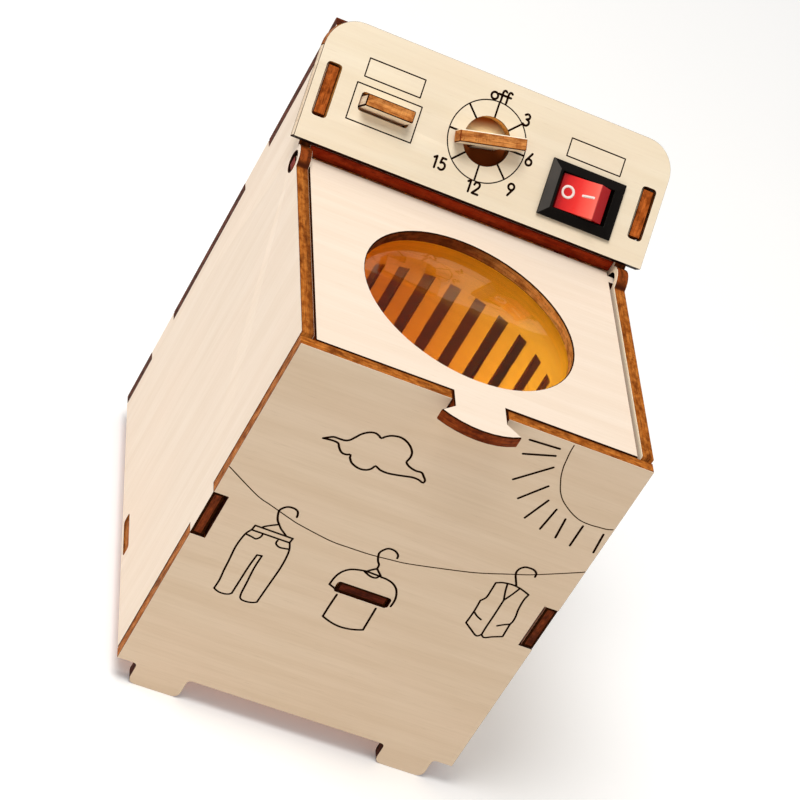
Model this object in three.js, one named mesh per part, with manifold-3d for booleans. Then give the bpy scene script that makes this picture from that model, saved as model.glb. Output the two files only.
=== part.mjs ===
// Toy top-loading washing machine, laser-cut from one thickness of board.
// Millimetres, +Z up, front towards -Y. The body is worked out from the front face (y = 0)
// and the shoulder line above the feet (z = 0), and is moved to its own frame at the end.
import * as THREE from 'three';
import { mergeVertices } from 'three/addons/utils/BufferGeometryUtils.js';
import Module from 'manifold-3d';

const wasm = await Module();
wasm.setup();

// Board and fits
const ply = 3.2; // thickness of every cut board
const slotFit = 0.15; // clearance on each side of a tab in its slot
const slotEndFit = 0.6; // clearance at a tab's ends, for the slot's round corners
const glueGap = 0.1; // glue line between faces that lie on each other
const runGap = 0.3; // clearance beside a piece that moves or is turned
const tabRecess = 0.3; // how far a tab's end stays behind the face it comes through
const cutOver = 1; // overrun of every cut
const facetTurn = 10; // degrees between two points of a round outline
const facetTurnSmall = 30; // the same on corner rounds
const facetTurnFine = 15; // the same on small pins and bores
const samePoint = 0.001; // points nearer than this are one

// Body
const bodyWidth = 93;
const bodyDepth = 105.4;
const frontHeight = 106.5;
const backRise = 25.9; // top of the back panel over the front panel's
const sideGap = 0.6; // open joint between the front panel and a side panel
const sideRise = 0.8; // a side panel's top edge over the lid
const footHeight = 6.6;
const footWidth = 13.8;
const footInset = 5.4; // from the body's side to a foot
const footRound = 1.9;
const footFillet = 1;
const slotRound = 0.9;

// Tabs that lock the boards
const frontTabHeight = 13.7;
const frontTabMid = 51.1;
const rearTabHeight = 14.6;
const rearTabMids = [24.1, 84.7];
const floorTabWidth = 12.4;
const floorTabMid = 43.7;
const floorBase = 1.4; // underside of the floor over the shoulder line
const shelfTabWidth = 13.4;
const shelfRoom = 3.7; // under the motor shelf, over the battery holder
const shelfNotchDepth = 8.5;
const edgeNotchFit = 0.7; // between a side panel's tab and the end of its notch

// Console
const consoleTilt = 50; // degrees from the horizontal
const consoleSetback = 27.3; // lower edge of the outer face, from the rear
const consoleRise = 5.3; // lower edge of the outer face, over the lid
const consoleOverhang = 2.7; // past the body on each side
const consoleLength = 32.9;
const consoleRound = 8.5;
const consoleTabLength = 12.9;
const consoleTabFit = 0.4; // clearance beside the tabs that come through the console
const consoleTabMid = 13.7;
const railDepth = 6;
const railGap = 1; // from the lid's rear edge to the rail

// Lid
const lidSideGap = 0.65;
const lidFrontGap = 0.5;
const lidUnderlap = 1.9; // rear edge of the lid behind the console's lower edge
const pinBack = 3.2; // pivot ahead of the lid's rear edge
const pinShort = 0.2; // pins stop this far inside the side panels' outer faces
const hingeFit = 0.24; // least clearance round a pin in its pivot hole
const holeDrop = 0.5; // centre of the pivot hole over the pin's centre
const humpRim = 1.7; // wood over the pivot hole
const windowRim = 7.3; // wood between the lid's front edge and its hole
const windowShift = 2.35; // its centre ahead of the lid's middle
const windowLap = 3.5;
const windowThick = 2;
const neckWidth = 14;
const neckGap = 0.5;
const neckReach = 2.2; // corners behind the grip, ahead of the front face
const gripWidth = 21.2;
const gripTipReach = 5.4;
const gripReach = 8.45;

// Basket and drive
const basketShift = 1.4; // axis behind the middle between the front panel and the lid's end
const basketRoom = 6.8; // from the basket to the front panel
const basketWall = 1;
const basketHeadroom = 2.2; // under the window
const driveRoom = 5.2; // from the motor shelf to the basket
const slotPitch = 7.45;
const slotWidth = 3.3;
const slotRim = 10.5; // solid ring over the slots
const slotFoot = 6; // solid ring below them
const slotPhase = 64.1; // degrees from +X to the middle of one slot
const shaftDiameter = 2;
const shaftFit = 0.1;
const hubFlange = 18;
const hubFlangeThick = 2;
const hubBoss = 7;
const hubBossLength = 2.4;
const motorDiameter = 20.2;
const motorFlats = 15.2;
const motorLength = 20;
const motorBoss = 6;
const motorBossLength = 1.8;
const motorCapLength = 4.9;
const shaftSunk = 1.7; // shaft's foot below the motor's end face
const collarSize = 36;
const terminalSpread = 11;
const terminalWidth = 2.4;
const terminalThick = 0.5;
const terminalLength = 3;

// Battery holder, its open side to the rear
const cellDiameter = 14.2;
const cellLength = 49.3;
const nubDiameter = 5.4;
const nubLength = 1;
const cellFit = 0.25;
const holderWall = 1.5;
const holderRib = 0.8;
const holderPlay = 0.7; // room at the ends of a cell, beside the contacts
const holderRearGap = 0.7;
const contactThick = 0.4;
const contactWidth = 9;
const leadHole = 1.9;
const hatchLip = 0.75; // rim of the holder that the back panel covers
const hatchRound = 1.5;

// Rocker switch
const switchInset = 18.7; // its middle from the body's right side
const switchU = 11.4; // its middle up the console from the lower edge
const bezelWidth = 21;
const bezelHeight = 15;
const bezelEdge = 0.6; // upright part of its edge
const bezelRise = 1.2; // sloped part, up to its inner edge
const bezelSlope = 2.3;
const cutoutWidth = 19;
const cutoutHeight = 13;
const switchFit = 0.2;
const switchDepth = 11.5;
const wellWidth = 14.9;
const wellHeight = 9.9;
const wellDepth = 8;
const rockerLength = 14;
const rockerWidth = 9.3;
const rockerTilt = 18; // degrees, either way
const rockerPivot = 1.2; // pivot below the console's face
const rockerEnd = [-0.4, 1.2]; // lower and upper edge of an end face, over the pivot
const rockerCrest = 4.5; // crests over the pivot
const rockerCrestX = 4.4;
const rockerHollow = 0.6; // middle of the top below its crests
const rockerBelly = 3.4; // underside below the pivot
const trunnion = 1.8;
const trunnionFit = 0.1;
const trunnionLength = 0.8;
const hollowShares = [1, 0.75, 0.5, 0.25, 0, -0.25, -0.5, -0.75, -1]; // points across the top
const bladeSpread = 8.4;
const bladeWidth = 4.6;
const bladeThick = 0.8;
const bladeLength = 6;

// Dial
const dialX = -1;
const dialU = 16.4;
const dialHole = 12.8;
const knobLength = 18;
const knobTurn = 12.5; // degrees, where the photographed dial stands
const knobTop = 5.2; // outer edge over the console's face
const knobLift = 0.7; // bar's underside over the console's face
const stemWidth = 7;
const stemShort = 0.2;
const discDiameter = 20;

// Press button
const buttonInset = 17.5; // its middle from the body's left side
const buttonU = 14.25;
const buttonWidth = 13.2;
const buttonOut = 4.8;
const buttonGap = 0.85; // beside its faces
const buttonEndGap = 0.35; // beside its edges
const buttonBar = 20;
const buttonBarDepth = 4;

// Wires
const wireDiameter = 1.4;
const wireSides = 8;
const wireStep = 3; // length of one step of a wire
const leadGap = 0.3; // from a wire's end to its contact
const leadStraight = 2.2;
const laneApart = 3.6; // between the two wires that pass the shelf
const laneInset = 5; // from the back panel to them
const wireRise = 3; // above the floor

// Values that follow
const half = bodyWidth / 2;
const innerHalf = half - ply;
const backFront = bodyDepth - ply;
const boardRear = backFront - slotFit;
const boardFront = ply + slotFit;
const boardHalf = innerHalf - slotFit;
const backHeight = frontHeight + backRise;
const sideTop = frontHeight + sideRise;
const floorTop = floorBase + ply;
const consoleFront = bodyDepth - consoleSetback;
const consoleLow = frontHeight + consoleRise;
const consoleCos = Math.cos(THREE.MathUtils.degToRad(consoleTilt));
const consoleSin = Math.sin(THREE.MathUtils.degToRad(consoleTilt));
const seat = -ply - runGap; // level of what lies under the console, along its normal
const switchX = half - switchInset;
const buttonX = buttonInset - half;
const lidBase = frontHeight - ply;
const lidHalf = innerHalf - lidSideGap;
const lidFront = ply + lidFrontGap;
const lidRear = consoleFront + lidUnderlap;
const windowMid = (lidFront + lidRear) / 2 - windowShift;
const windowRadius = windowMid - lidFront - windowRim;
const windowBase = lidBase - glueGap - windowThick;
const hingeY = lidRear - pinBack;
const hingeZ = lidBase + ply / 2;
const holeZ = hingeZ + holeDrop;
const hingeHole = Math.hypot(ply, ply) + 2 * (holeDrop + hingeFit);
const humpRadius = hingeHole / 2 + humpRim;
const pocketHeight = cellDiameter + 2 * cellFit;
const pocketLength = cellLength + nubLength + 2 * contactThick + 2 * holderPlay;
const holderLength = pocketLength + 2 * holderWall;
const holderHeight = 2 * pocketHeight + holderRib + 2 * holderWall;
const holderDepth = pocketHeight + holderWall;
const holderRear = backFront - holderRearGap;
const holderFront = holderRear - holderDepth;
const holderBase = floorTop + glueGap;
const holderTop = holderBase + holderHeight;
const cellY = holderFront + holderWall + pocketHeight / 2;
const cellZs = [0, 1].map((k) => holderBase + holderWall + pocketHeight / 2
  + k * (pocketHeight + holderRib));
const shelfBase = holderTop + shelfRoom;
const shelfMid = shelfBase + ply / 2;
const laneX = (holderLength / 2 + boardHalf) / 2;
const basketMid = (ply + lidRear) / 2 + basketShift;
const basketOuter = basketMid - ply - basketRoom;
const basketInner = basketOuter - basketWall;
const basketBase = shelfBase + ply + driveRoom;
const basketTop = windowBase - basketHeadroom;
const slotCount = Math.round((2 * Math.PI * basketInner) / slotPitch);
const motorTop = shelfBase - runGap;
const motorFoot = motorTop - motorLength - glueGap - motorCapLength;
const terminalTip = motorFoot - glueGap - terminalLength;
const bladeTip = switchDepth + glueGap + bladeLength;

const paint = (color, roughness, metalness = 0) =>
  new THREE.MeshStandardMaterial({ color, roughness, metalness });
const veneer = paint(0xf2e2c8, 0.6);
const whitewood = paint(0xe6c9a0, 0.65);
const amber = paint(0xc8741e, 0.08);
const steel = paint(0xb9bbbd, 0.35, 0.9);
const brass = paint(0xc9a14a, 0.3, 0.9);
const blackPlastic = paint(0x1b1b1c, 0.45);
const redPlastic = paint(0xd8202c, 0.3);
const whitePlastic = paint(0xe9e6df, 0.5);
const cellSleeve = paint(0x2f7d4a, 0.4);
const redSleeve = paint(0xb81f22, 0.5);
const blackSleeve = paint(0x202022, 0.5);

// Outlines are lists of points, drawn anticlockwise
function arc(x, y, radius, from, to, turn = facetTurn) {
  const steps = Math.max(2, Math.ceil(Math.abs(to - from) / turn));
  return Array.from({ length: steps + 1 }, (_, i) => {
    const angle = THREE.MathUtils.degToRad(from + ((to - from) * i) / steps);
    return [x + radius * Math.cos(angle), y + radius * Math.sin(angle)];
  });
}

const round = (x, y, radius, turn = facetTurn) => arc(x, y, radius, 0, 360, turn);

const box = (x0, y0, x1, y1, radius) => [
  ...arc(x1 - radius, y0 + radius, radius, -90, 0, facetTurnSmall),
  ...arc(x1 - radius, y1 - radius, radius, 0, 90, facetTurnSmall),
  ...arc(x0 + radius, y1 - radius, radius, 90, 180, facetTurnSmall),
  ...arc(x0 + radius, y0 + radius, radius, 180, 270, facetTurnSmall),
];

function slot(width, height, x, y, sides = slotFit, ends = slotEndFit) {
  const w = width / 2 + (width > height ? ends : sides);
  const h = height / 2 + (width > height ? sides : ends);
  return box(x - w, y - h, x + w, y + h, slotRound);
}

const mirrored = (points) => points.map(([x, y]) => [-x, y]).reverse();

// A flat shape from its outline and its holes, with no point drawn twice
function flat(points, holes = []) {
  const trace = (path, list) => {
    const kept = list.filter(([x, y], i) => {
      const [nx, ny] = list[(i + 1) % list.length];
      return Math.hypot(nx - x, ny - y) > samePoint;
    });
    kept.forEach(([x, y], i) => (i ? path.lineTo(x, y) : path.moveTo(x, y)));
    path.closePath();
    return path;
  };
  const shape = trace(new THREE.Shape(), points);
  for (const hole of holes) shape.holes.push(trace(new THREE.Path(), hole));
  return shape;
}

// Boards: drawn flat, then laid level, stood up facing the front, or stood up facing a side
const extrude = (shape, depth) => new THREE.ExtrudeGeometry(shape, { depth, bevelEnabled: false });
const levelBoard = (shape, base, depth = ply) => extrude(shape, depth).translate(0, 0, base);
const uprightBoard = (shape, front, depth = ply) =>
  extrude(shape, depth).rotateX(Math.PI / 2).translate(0, front + depth, 0);
const sideTurn = new THREE.Matrix4().makeBasis(
  new THREE.Vector3(0, 1, 0), new THREE.Vector3(0, 0, 1), new THREE.Vector3(1, 0, 0));
const sideBoard = (shape, left, depth = ply) =>
  extrude(shape, depth).applyMatrix4(sideTurn).translate(left, 0, 0);

// Booleans on closed meshes
function solid(geometry) {
  const bare = geometry.clone();
  bare.deleteAttribute('normal');
  bare.deleteAttribute('uv');
  const merged = mergeVertices(bare);
  return new wasm.Manifold(new wasm.Mesh({
    numProp: 3,
    vertProperties: new Float32Array(merged.attributes.position.array),
    triVerts: new Uint32Array(merged.index.array),
  }));
}

function geometryOf(manifold) {
  const mesh = manifold.getMesh();
  const geometry = new THREE.BufferGeometry();
  geometry.setAttribute('position', new THREE.BufferAttribute(mesh.vertProperties, 3));
  geometry.setIndex(new THREE.BufferAttribute(mesh.triVerts, 1));
  geometry.computeVertexNormals();
  return geometry;
}

const cut = (geometry, ...tools) =>
  geometryOf(tools.reduce((body, tool) => body.subtract(solid(tool)), solid(geometry)));
const fuse = (geometry, ...others) =>
  geometryOf(others.reduce((body, other) => body.add(solid(other)), solid(geometry)));

const block = (x0, x1, y0, y1, z0, z1) => new THREE.BoxGeometry(x1 - x0, y1 - y0, z1 - z0)
  .translate((x0 + x1) / 2, (y0 + y1) / 2, (z0 + z1) / 2);

const rod = (radius, z0, z1, turn = facetTurn) =>
  extrude(flat(round(0, 0, radius, turn)), z1 - z0).translate(0, 0, z0);

function piece(name, geometry, material, parent) {
  const mesh = new THREE.Mesh(geometry, material);
  mesh.name = name;
  parent.add(mesh);
  return mesh;
}

// Front and back panels share their feet and their edge notches. The right half of the
// outline is drawn from the middle of the foot line to the top, and then mirrored.
function footRun() {
  const x1 = half - footInset;
  const x0 = x1 - footWidth;
  const low = -footHeight + footRound;
  return [
    ...arc(x0 - footFillet, -footFillet, footFillet, 90, 0, facetTurnSmall),
    ...arc(x0 + footRound, low, footRound, 180, 270, facetTurnSmall),
    ...arc(x1 - footRound, low, footRound, 270, 360, facetTurnSmall),
    ...arc(x1 + footFillet, -footFillet, footFillet, 180, 90, facetTurnSmall),
  ];
}

function edgeNotch(mid, height) {
  const root = half - ply - edgeNotchFit;
  const h = height / 2 + slotFit;
  return [[half, mid - h], [root, mid - h], [root, mid + h], [half, mid + h]];
}

function frontPanel() {
  const w = neckWidth / 2 + neckGap;
  const run = [...footRun(), [half, 0], ...edgeNotch(frontTabMid, frontTabHeight),
    [half, frontHeight], [w, frontHeight], [w, lidBase - runGap]];
  const shape = flat([...run, ...mirrored(run)], [slot(shelfTabWidth, ply, 0, shelfMid)]);
  return uprightBoard(shape, 0);
}

function backPanel() {
  const notches = rearTabMids.flatMap((mid) => edgeNotch(mid, rearTabHeight));
  const run = [...footRun(), [half, 0], ...notches, [half, backHeight]];
  const w = holderLength / 2 - hatchLip;
  const hatch = box(-w, holderBase + hatchLip, w, holderTop - hatchLip, hatchRound);
  const shape = flat([...run, ...mirrored(run)],
    [slot(shelfTabWidth, ply, 0, shelfMid), hatch]);
  return uprightBoard(shape, backFront);
}

// A point given up the console's slope and out along its normal, as distance back and height
const onSlope = (up, out) => [
  consoleFront + up * consoleCos - out * consoleSin,
  consoleLow + up * consoleSin + out * consoleCos,
];

function slopeMeetsHump() {
  const [y, z] = onSlope(0, seat);
  const along = (y - hingeY) * consoleCos + (z - holeZ) * consoleSin;
  const apart = (y - hingeY) ** 2 + (z - holeZ) ** 2 - humpRadius ** 2;
  const up = -along + Math.sqrt(along * along - apart);
  const [my, mz] = onSlope(up, seat);
  return THREE.MathUtils.radToDeg(Math.atan2(mz - holeZ, my - hingeY));
}

function sideShape() {
  const front = ply + sideGap;
  const tip = bodyDepth - tabRecess;
  const rearTabs = rearTabMids.flatMap((mid) => {
    const [z0, z1] = [mid - rearTabHeight / 2, mid + rearTabHeight / 2];
    return [[boardRear, z0], [tip, z0], [tip, z1], [boardRear, z1]];
  });
  const upAtTop = (backHeight - onSlope(0, seat)[1]) / consoleSin;
  const highTab = consoleTabMid + consoleTabLength / 2;
  const lowTab = consoleTabMid - consoleTabLength / 2;
  const humpFoot = THREE.MathUtils.radToDeg(Math.asin((sideTop - holeZ) / humpRadius));
  const [z0, z1] = [frontTabMid - frontTabHeight / 2, frontTabMid + frontTabHeight / 2];
  const run = [
    [front, 0], [boardRear, 0], ...rearTabs, [boardRear, backHeight],
    onSlope(upAtTop, seat), onSlope(highTab, seat), onSlope(highTab, -tabRecess),
    onSlope(lowTab, -tabRecess), onSlope(lowTab, seat),
    ...arc(hingeY, holeZ, humpRadius, slopeMeetsHump(), 180 - humpFoot, facetTurnFine),
    [front, sideTop], [front, z1], [tabRecess, z1], [tabRecess, z0], [front, z0],
  ];
  return flat(run, [round(hingeY, holeZ, hingeHole / 2, facetTurnFine),
    slot(floorTabWidth, ply, floorTabMid, floorBase + ply / 2)]);
}

function floorPanel() {
  const tip = half - tabRecess;
  const [y0, y1] = [floorTabMid - floorTabWidth / 2, floorTabMid + floorTabWidth / 2];
  return levelBoard(flat([
    [-boardHalf, boardFront], [boardHalf, boardFront],
    [boardHalf, y0], [tip, y0], [tip, y1], [boardHalf, y1],
    [boardHalf, boardRear], [-boardHalf, boardRear],
    [-boardHalf, y1], [-tip, y1], [-tip, y0], [-boardHalf, y0],
  ]), floorBase);
}

// The shelf's rear right corner is open for the wires to the switch
function motorShelf() {
  const w = shelfTabWidth / 2;
  const notchX = laneX - laneApart;
  const notchY = boardRear - shelfNotchDepth;
  const rear = bodyDepth - tabRecess;
  return levelBoard(flat([
    [-boardHalf, boardFront], [-w, boardFront], [-w, tabRecess], [w, tabRecess], [w, boardFront],
    [boardHalf, boardFront], [boardHalf, notchY], [notchX, notchY], [notchX, boardRear],
    [w, boardRear], [w, rear], [-w, rear], [-w, boardRear], [-boardHalf, boardRear],
  ], [round(0, basketMid, motorBoss / 2 + runGap, facetTurnFine)]), shelfBase);
}

function consoleRail() {
  const front = lidRear + railGap;
  const [, top] = onSlope(0, seat);
  return block(-boardHalf, boardHalf, front, front + railDepth, top - runGap - ply, top - runGap);
}

// Console panel, in the console's own frame: x across, y up the slope, z out of its face
function consolePanel() {
  const w = half + consoleOverhang;
  const run = [[w, 0],
    ...arc(w - consoleRound, consoleLength - consoleRound, consoleRound, 0, 90)];
  const tabSlots = [-1, 1].map((side) =>
    slot(ply, consoleTabLength, side * (half - ply / 2), consoleTabMid, consoleTabFit));
  const [cw, ch] = [cutoutWidth / 2, cutoutHeight / 2];
  return levelBoard(flat([...run, ...mirrored(run)], [...tabSlots,
    round(dialX, dialU, dialHole / 2),
    slot(buttonWidth, ply, buttonX, buttonU, buttonGap, buttonEndGap),
    box(switchX - cw, switchU - ch, switchX + cw, switchU + ch, switchFit),
  ]), -ply);
}

// Lid with its two square pins and its crescent grip, one board
function lidPanel() {
  const pinOut = half - pinShort;
  const pins = [hingeY - ply / 2, hingeY + ply / 2];
  const n = neckWidth / 2;
  const g = gripWidth / 2;
  const sag = gripReach - gripTipReach;
  const bow = (g * g + sag * sag) / (2 * sag);
  const tipAngle = THREE.MathUtils.radToDeg(Math.asin(g / bow));
  const run = [...arc(0, bow - gripReach, bow, -90, -90 + tipAngle), [n, -neckReach],
    [n, lidFront], [lidHalf, lidFront], [lidHalf, pins[0]], [pinOut, pins[0]],
    [pinOut, pins[1]], [lidHalf, pins[1]], [lidHalf, lidRear]];
  return levelBoard(flat([...run, ...mirrored(run)],
    [round(0, windowMid, windowRadius, facetTurn / 2)]), lidBase);
}

const lidWindow = () =>
  rod(windowRadius + windowLap, windowBase, windowBase + windowThick, facetTurn / 2)
    .translate(0, windowMid, 0);

// Basket wall: a thin ring with upright slots all round
function basketRing() {
  const steps = 4 * slotCount;
  const ring = new THREE.LatheGeometry([
    new THREE.Vector2(basketInner, basketBase), new THREE.Vector2(basketOuter, basketBase),
    new THREE.Vector2(basketOuter, basketTop), new THREE.Vector2(basketInner, basketTop),
    new THREE.Vector2(basketInner, basketBase),
  ], steps).rotateX(Math.PI / 2);
  const reach = basketOuter + cutOver;
  const from = basketInner - cutOver;
  const slots = [];
  for (let i = 0; i < slotCount; i++) {
    const angle = THREE.MathUtils.degToRad(slotPhase + (360 * i) / slotCount);
    slots.push(block(from, reach, -slotWidth / 2, slotWidth / 2, basketBase + slotFoot,
      basketTop - slotRim).rotateZ(angle));
  }
  return cut(ring, ...slots);
}

const basketFloor = () => rod(basketInner - slotFit, basketBase, basketBase + ply, facetTurn / 2);

function driveHub() {
  const top = basketBase - glueGap;
  const bore = shaftDiameter / 2 + shaftFit;
  const step = top - hubFlangeThick;
  return new THREE.LatheGeometry([
    new THREE.Vector2(bore, step - hubBossLength),
    new THREE.Vector2(hubBoss / 2, step - hubBossLength),
    new THREE.Vector2(hubBoss / 2, step), new THREE.Vector2(hubFlange / 2, step),
    new THREE.Vector2(hubFlange / 2, top), new THREE.Vector2(bore, top),
    new THREE.Vector2(bore, step - hubBossLength),
  ], 24).rotateX(Math.PI / 2);
}

const motorShaft = () => rod(shaftDiameter / 2, motorTop - shaftSunk,
  basketBase - glueGap - runGap, facetTurnFine);

// Round motor can with two flats, as an outline that can be grown by a clearance
function motorOutline(grow) {
  const r = motorDiameter / 2 + grow;
  const turn = THREE.MathUtils.radToDeg(Math.asin((motorFlats / 2 + grow) / r));
  return [...arc(0, 0, r, -turn, turn), ...arc(0, 0, r, 180 - turn, 180 + turn)];
}

function motorCan() {
  const can = extrude(flat(motorOutline(0)), motorLength)
    .translate(0, 0, motorTop - motorLength);
  const boss = rod(motorBoss / 2, motorTop - cutOver, motorTop + motorBossLength, facetTurnFine);
  const bore = rod(shaftDiameter / 2 + shaftFit, motorTop - shaftSunk - runGap,
    motorTop + motorBossLength + cutOver, facetTurnFine);
  return cut(fuse(can, boss), bore);
}

const motorCap = () => extrude(flat(motorOutline(0)), motorCapLength)
  .translate(0, 0, motorFoot);

const motorTerminal = (side) => {
  const x = (side * terminalSpread) / 2;
  return block(x - terminalThick / 2, x + terminalThick / 2, -terminalWidth / 2,
    terminalWidth / 2, terminalTip, motorFoot - glueGap);
};

function motorCollar() {
  const w = collarSize / 2;
  return levelBoard(flat(box(-w, -w, w, w, slotRound), [motorOutline(slotFit)]),
    shelfBase - glueGap - ply);
}

// Battery holder: a tray for two cells, open to the rear, with a lead hole at each right end
function batteryHolder() {
  const w = holderLength / 2;
  const tray = block(-w, w, holderFront, holderRear, holderBase, holderTop);
  const pockets = cellZs.map((z) => block(holderWall - w, w - holderWall,
    holderFront + holderWall, holderRear + cutOver, z - pocketHeight / 2, z + pocketHeight / 2));
  const holes = cellZs.map((z) => rod(leadHole / 2, -holderWall - cutOver, cutOver, facetTurnSmall)
    .rotateY(Math.PI / 2).translate(w, cellY, z));
  return cut(tray, ...pockets, ...holes);
}

function batteryCell(end) {
  const nub = nubDiameter / 2;
  const r = cellDiameter / 2;
  const bottom = -(cellLength + nubLength) / 2;
  const points = [[0, 0], [r, 0], [r, cellLength], [nub, cellLength],
    [nub, cellLength + nubLength], [0, cellLength + nubLength]];
  return new THREE.LatheGeometry(points.map(([x, y]) => new THREE.Vector2(x, y + bottom)), 24)
    .rotateZ((-end * Math.PI) / 2);
}

function batteryContact(end) {
  const x = end * (pocketLength / 2 - contactThick / 2);
  return block(x - contactThick / 2, x + contactThick / 2, -contactWidth / 2, contactWidth / 2,
    -contactWidth / 2, contactWidth / 2);
}

// Switch housing: sloped bezel and body in one, with a well for the rocker
function switchHousing() {
  const [w, h] = [bezelWidth / 2, bezelHeight / 2];
  const top = runGap + bezelEdge + bezelRise;
  const slope = new THREE.BoxGeometry(bezelWidth, bezelHeight, bezelRise);
  const corners = slope.attributes.position;
  for (let i = 0; i < corners.count; i++) {
    if (corners.getZ(i) < 0) continue;
    corners.setX(i, Math.sign(corners.getX(i)) * (w - bezelSlope));
    corners.setY(i, Math.sign(corners.getY(i)) * (h - bezelSlope));
  }
  slope.translate(0, 0, top - bezelRise / 2);
  const edge = block(-w, w, -h, h, runGap, runGap + bezelEdge);
  const bw = cutoutWidth / 2 - switchFit;
  const bh = cutoutHeight / 2 - switchFit;
  const body = block(-bw, bw, -bh, bh, -switchDepth, runGap + bezelEdge);
  const [ww, wh] = [wellWidth / 2, wellHeight / 2];
  const well = block(-ww, ww, -wh, wh, -wellDepth, top + cutOver);
  const reach = rockerWidth / 2 + trunnionLength + trunnionFit;
  const sockets = rod(trunnion / 2 + trunnionFit, -reach, reach, facetTurnFine)
    .rotateX(Math.PI / 2).translate(0, 0, -rockerPivot);
  return cut(fuse(edge, slope, body), well, sockets);
}

// Rocker about its own pivot: a slightly hollow top between two crests, and slanted ends
function switchRocker() {
  const l = rockerLength / 2;
  const top = hollowShares.map((share) => [share * rockerCrestX,
    rockerCrest - rockerHollow * (1 - share * share)]);
  const body = extrude(flat([
    [-rockerCrestX, -rockerBelly], [rockerCrestX, -rockerBelly], [l, rockerEnd[0]],
    [l, rockerEnd[1]], ...top, [-l, rockerEnd[1]], [-l, rockerEnd[0]],
  ]), rockerWidth).rotateX(Math.PI / 2).translate(0, rockerWidth / 2, 0);
  const reach = rockerWidth / 2 + trunnionLength;
  return fuse(body, rod(trunnion / 2, -reach, reach, facetTurnFine).rotateX(Math.PI / 2));
}

const switchBlade = (side) => {
  const x = (side * bladeSpread) / 2;
  return block(x - bladeWidth / 2, x + bladeWidth / 2, -bladeThick / 2, bladeThick / 2,
    -bladeTip, -switchDepth - glueGap);
};

// Knob: a T cut from board, its stem glued into the disc behind the console
function knobBar() {
  const a = knobLength / 2;
  const s = stemWidth / 2;
  const foot = seat - ply + stemShort;
  return extrude(flat([
    [-s, foot], [s, foot], [s, knobLift], [a, knobLift], [a, knobTop], [-a, knobTop],
    [-a, knobLift], [-s, knobLift],
  ]), ply).rotateX(Math.PI / 2).translate(0, ply / 2, 0);
}

function knobDisc() {
  return levelBoard(flat(round(0, 0, discDiameter / 2), [slot(stemWidth, ply, 0, 0)]),
    seat - ply);
}

function pressButton() {
  const b = buttonWidth / 2;
  const c = buttonBar / 2;
  return extrude(flat([
    [-c, seat - buttonBarDepth], [c, seat - buttonBarDepth], [c, seat], [b, seat],
    [b, buttonOut], [-b, buttonOut], [-b, seat], [-c, seat],
  ]), ply).rotateX(Math.PI / 2).translate(0, ply / 2, 0);
}

// Wires, each a tube along the route that the leads take inside the body
function wire(points) {
  const route = new THREE.CatmullRomCurve3(points.map((p) => new THREE.Vector3(...p)));
  const section = flat(round(0, 0, wireDiameter / 2, 360 / wireSides));
  return new THREE.ExtrudeGeometry(section, {
    steps: Math.round(route.getLength() / wireStep), extrudePath: route, bevelEnabled: false,
  });
}

function addWires(body) {
  const ends = [leadGap, leadGap + leadStraight];
  const [lowZ, highZ] = cellZs;
  const fromCell = (z) => ends.map((gap) => [pocketLength / 2 + gap, cellY, z]);
  const fromBlade = (side) => ends.map((gap) =>
    [switchX + (side * bladeSpread) / 2, ...onSlope(switchU, -bladeTip - gap)]);
  const fromTerminal = (side) => ends.map((gap) => [(side * terminalSpread) / 2,
    basketMid + terminalWidth / 2 + gap, terminalTip + terminalLength / 2]);
  const laneY = boardRear - laneInset;
  const lane = (side, ...heights) => heights.map((z) => [laneX + (side * laneApart) / 2, laneY, z]);
  const beside = holderLength / 2 + leadStraight;
  const ahead = holderFront - leadStraight;
  const gapMid = (basketMid + holderFront) / 2;
  const low = floorTop + wireRise;
  piece('wire_battery_switch', wire([...fromCell(highZ), ...lane(1, shelfBase, basketBase,
    basketTop), ...fromBlade(1).reverse()]), redSleeve, body);
  piece('wire_switch_motor', wire([...fromBlade(-1), ...lane(-1, basketTop, basketBase,
    shelfBase), [laneX, ahead, highZ], [terminalSpread, gapMid, lowZ],
    ...fromTerminal(1).reverse()]), redSleeve, body);
  piece('wire_battery_motor', wire([...fromCell(lowZ), [beside, ahead, low],
    [0, gapMid, low], ...fromTerminal(-1).reverse()]), blackSleeve, body);
}

function addBoards(body) {
  piece('front_panel', frontPanel(), veneer, body);
  piece('back_panel', backPanel(), veneer, body);
  piece('left_side_panel', sideBoard(sideShape(), -half), veneer, body);
  piece('right_side_panel', sideBoard(sideShape(), innerHalf), veneer, body);
  piece('floor_panel', floorPanel(), veneer, body);
  piece('motor_shelf', motorShelf(), veneer, body);
  piece('console_rail', consoleRail(), veneer, body);
}

function addDrive(body) {
  const axis = new THREE.Group();
  axis.position.y = basketMid;
  body.add(axis);
  piece('motor_can', motorCan(), steel, axis);
  piece('motor_end_cap', motorCap(), whitePlastic, axis);
  piece('motor_terminal_left', motorTerminal(-1), brass, axis);
  piece('motor_terminal_right', motorTerminal(1), brass, axis);
  piece('motor_collar', motorCollar(), veneer, axis);
  piece('motor_shaft', motorShaft(), steel, axis);
  piece('drive_hub', driveHub(), whitePlastic, axis);
  piece('basket_floor', basketFloor(), whitewood, axis);
  piece('basket_wall', basketRing(), whitewood, axis);
}

function addBatteries(body) {
  piece('battery_holder', batteryHolder(), blackPlastic, body);
  cellZs.forEach((z, k) => {
    const end = k ? -1 : 1;
    const name = k ? 'upper' : 'lower';
    const at = new THREE.Group();
    at.position.set(0, cellY, z);
    body.add(at);
    piece(`battery_${name}`, batteryCell(end), cellSleeve, at);
    piece(`battery_contact_${name}_left`, batteryContact(-1), steel, at);
    piece(`battery_contact_${name}_right`, batteryContact(1), steel, at);
  });
}

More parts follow.
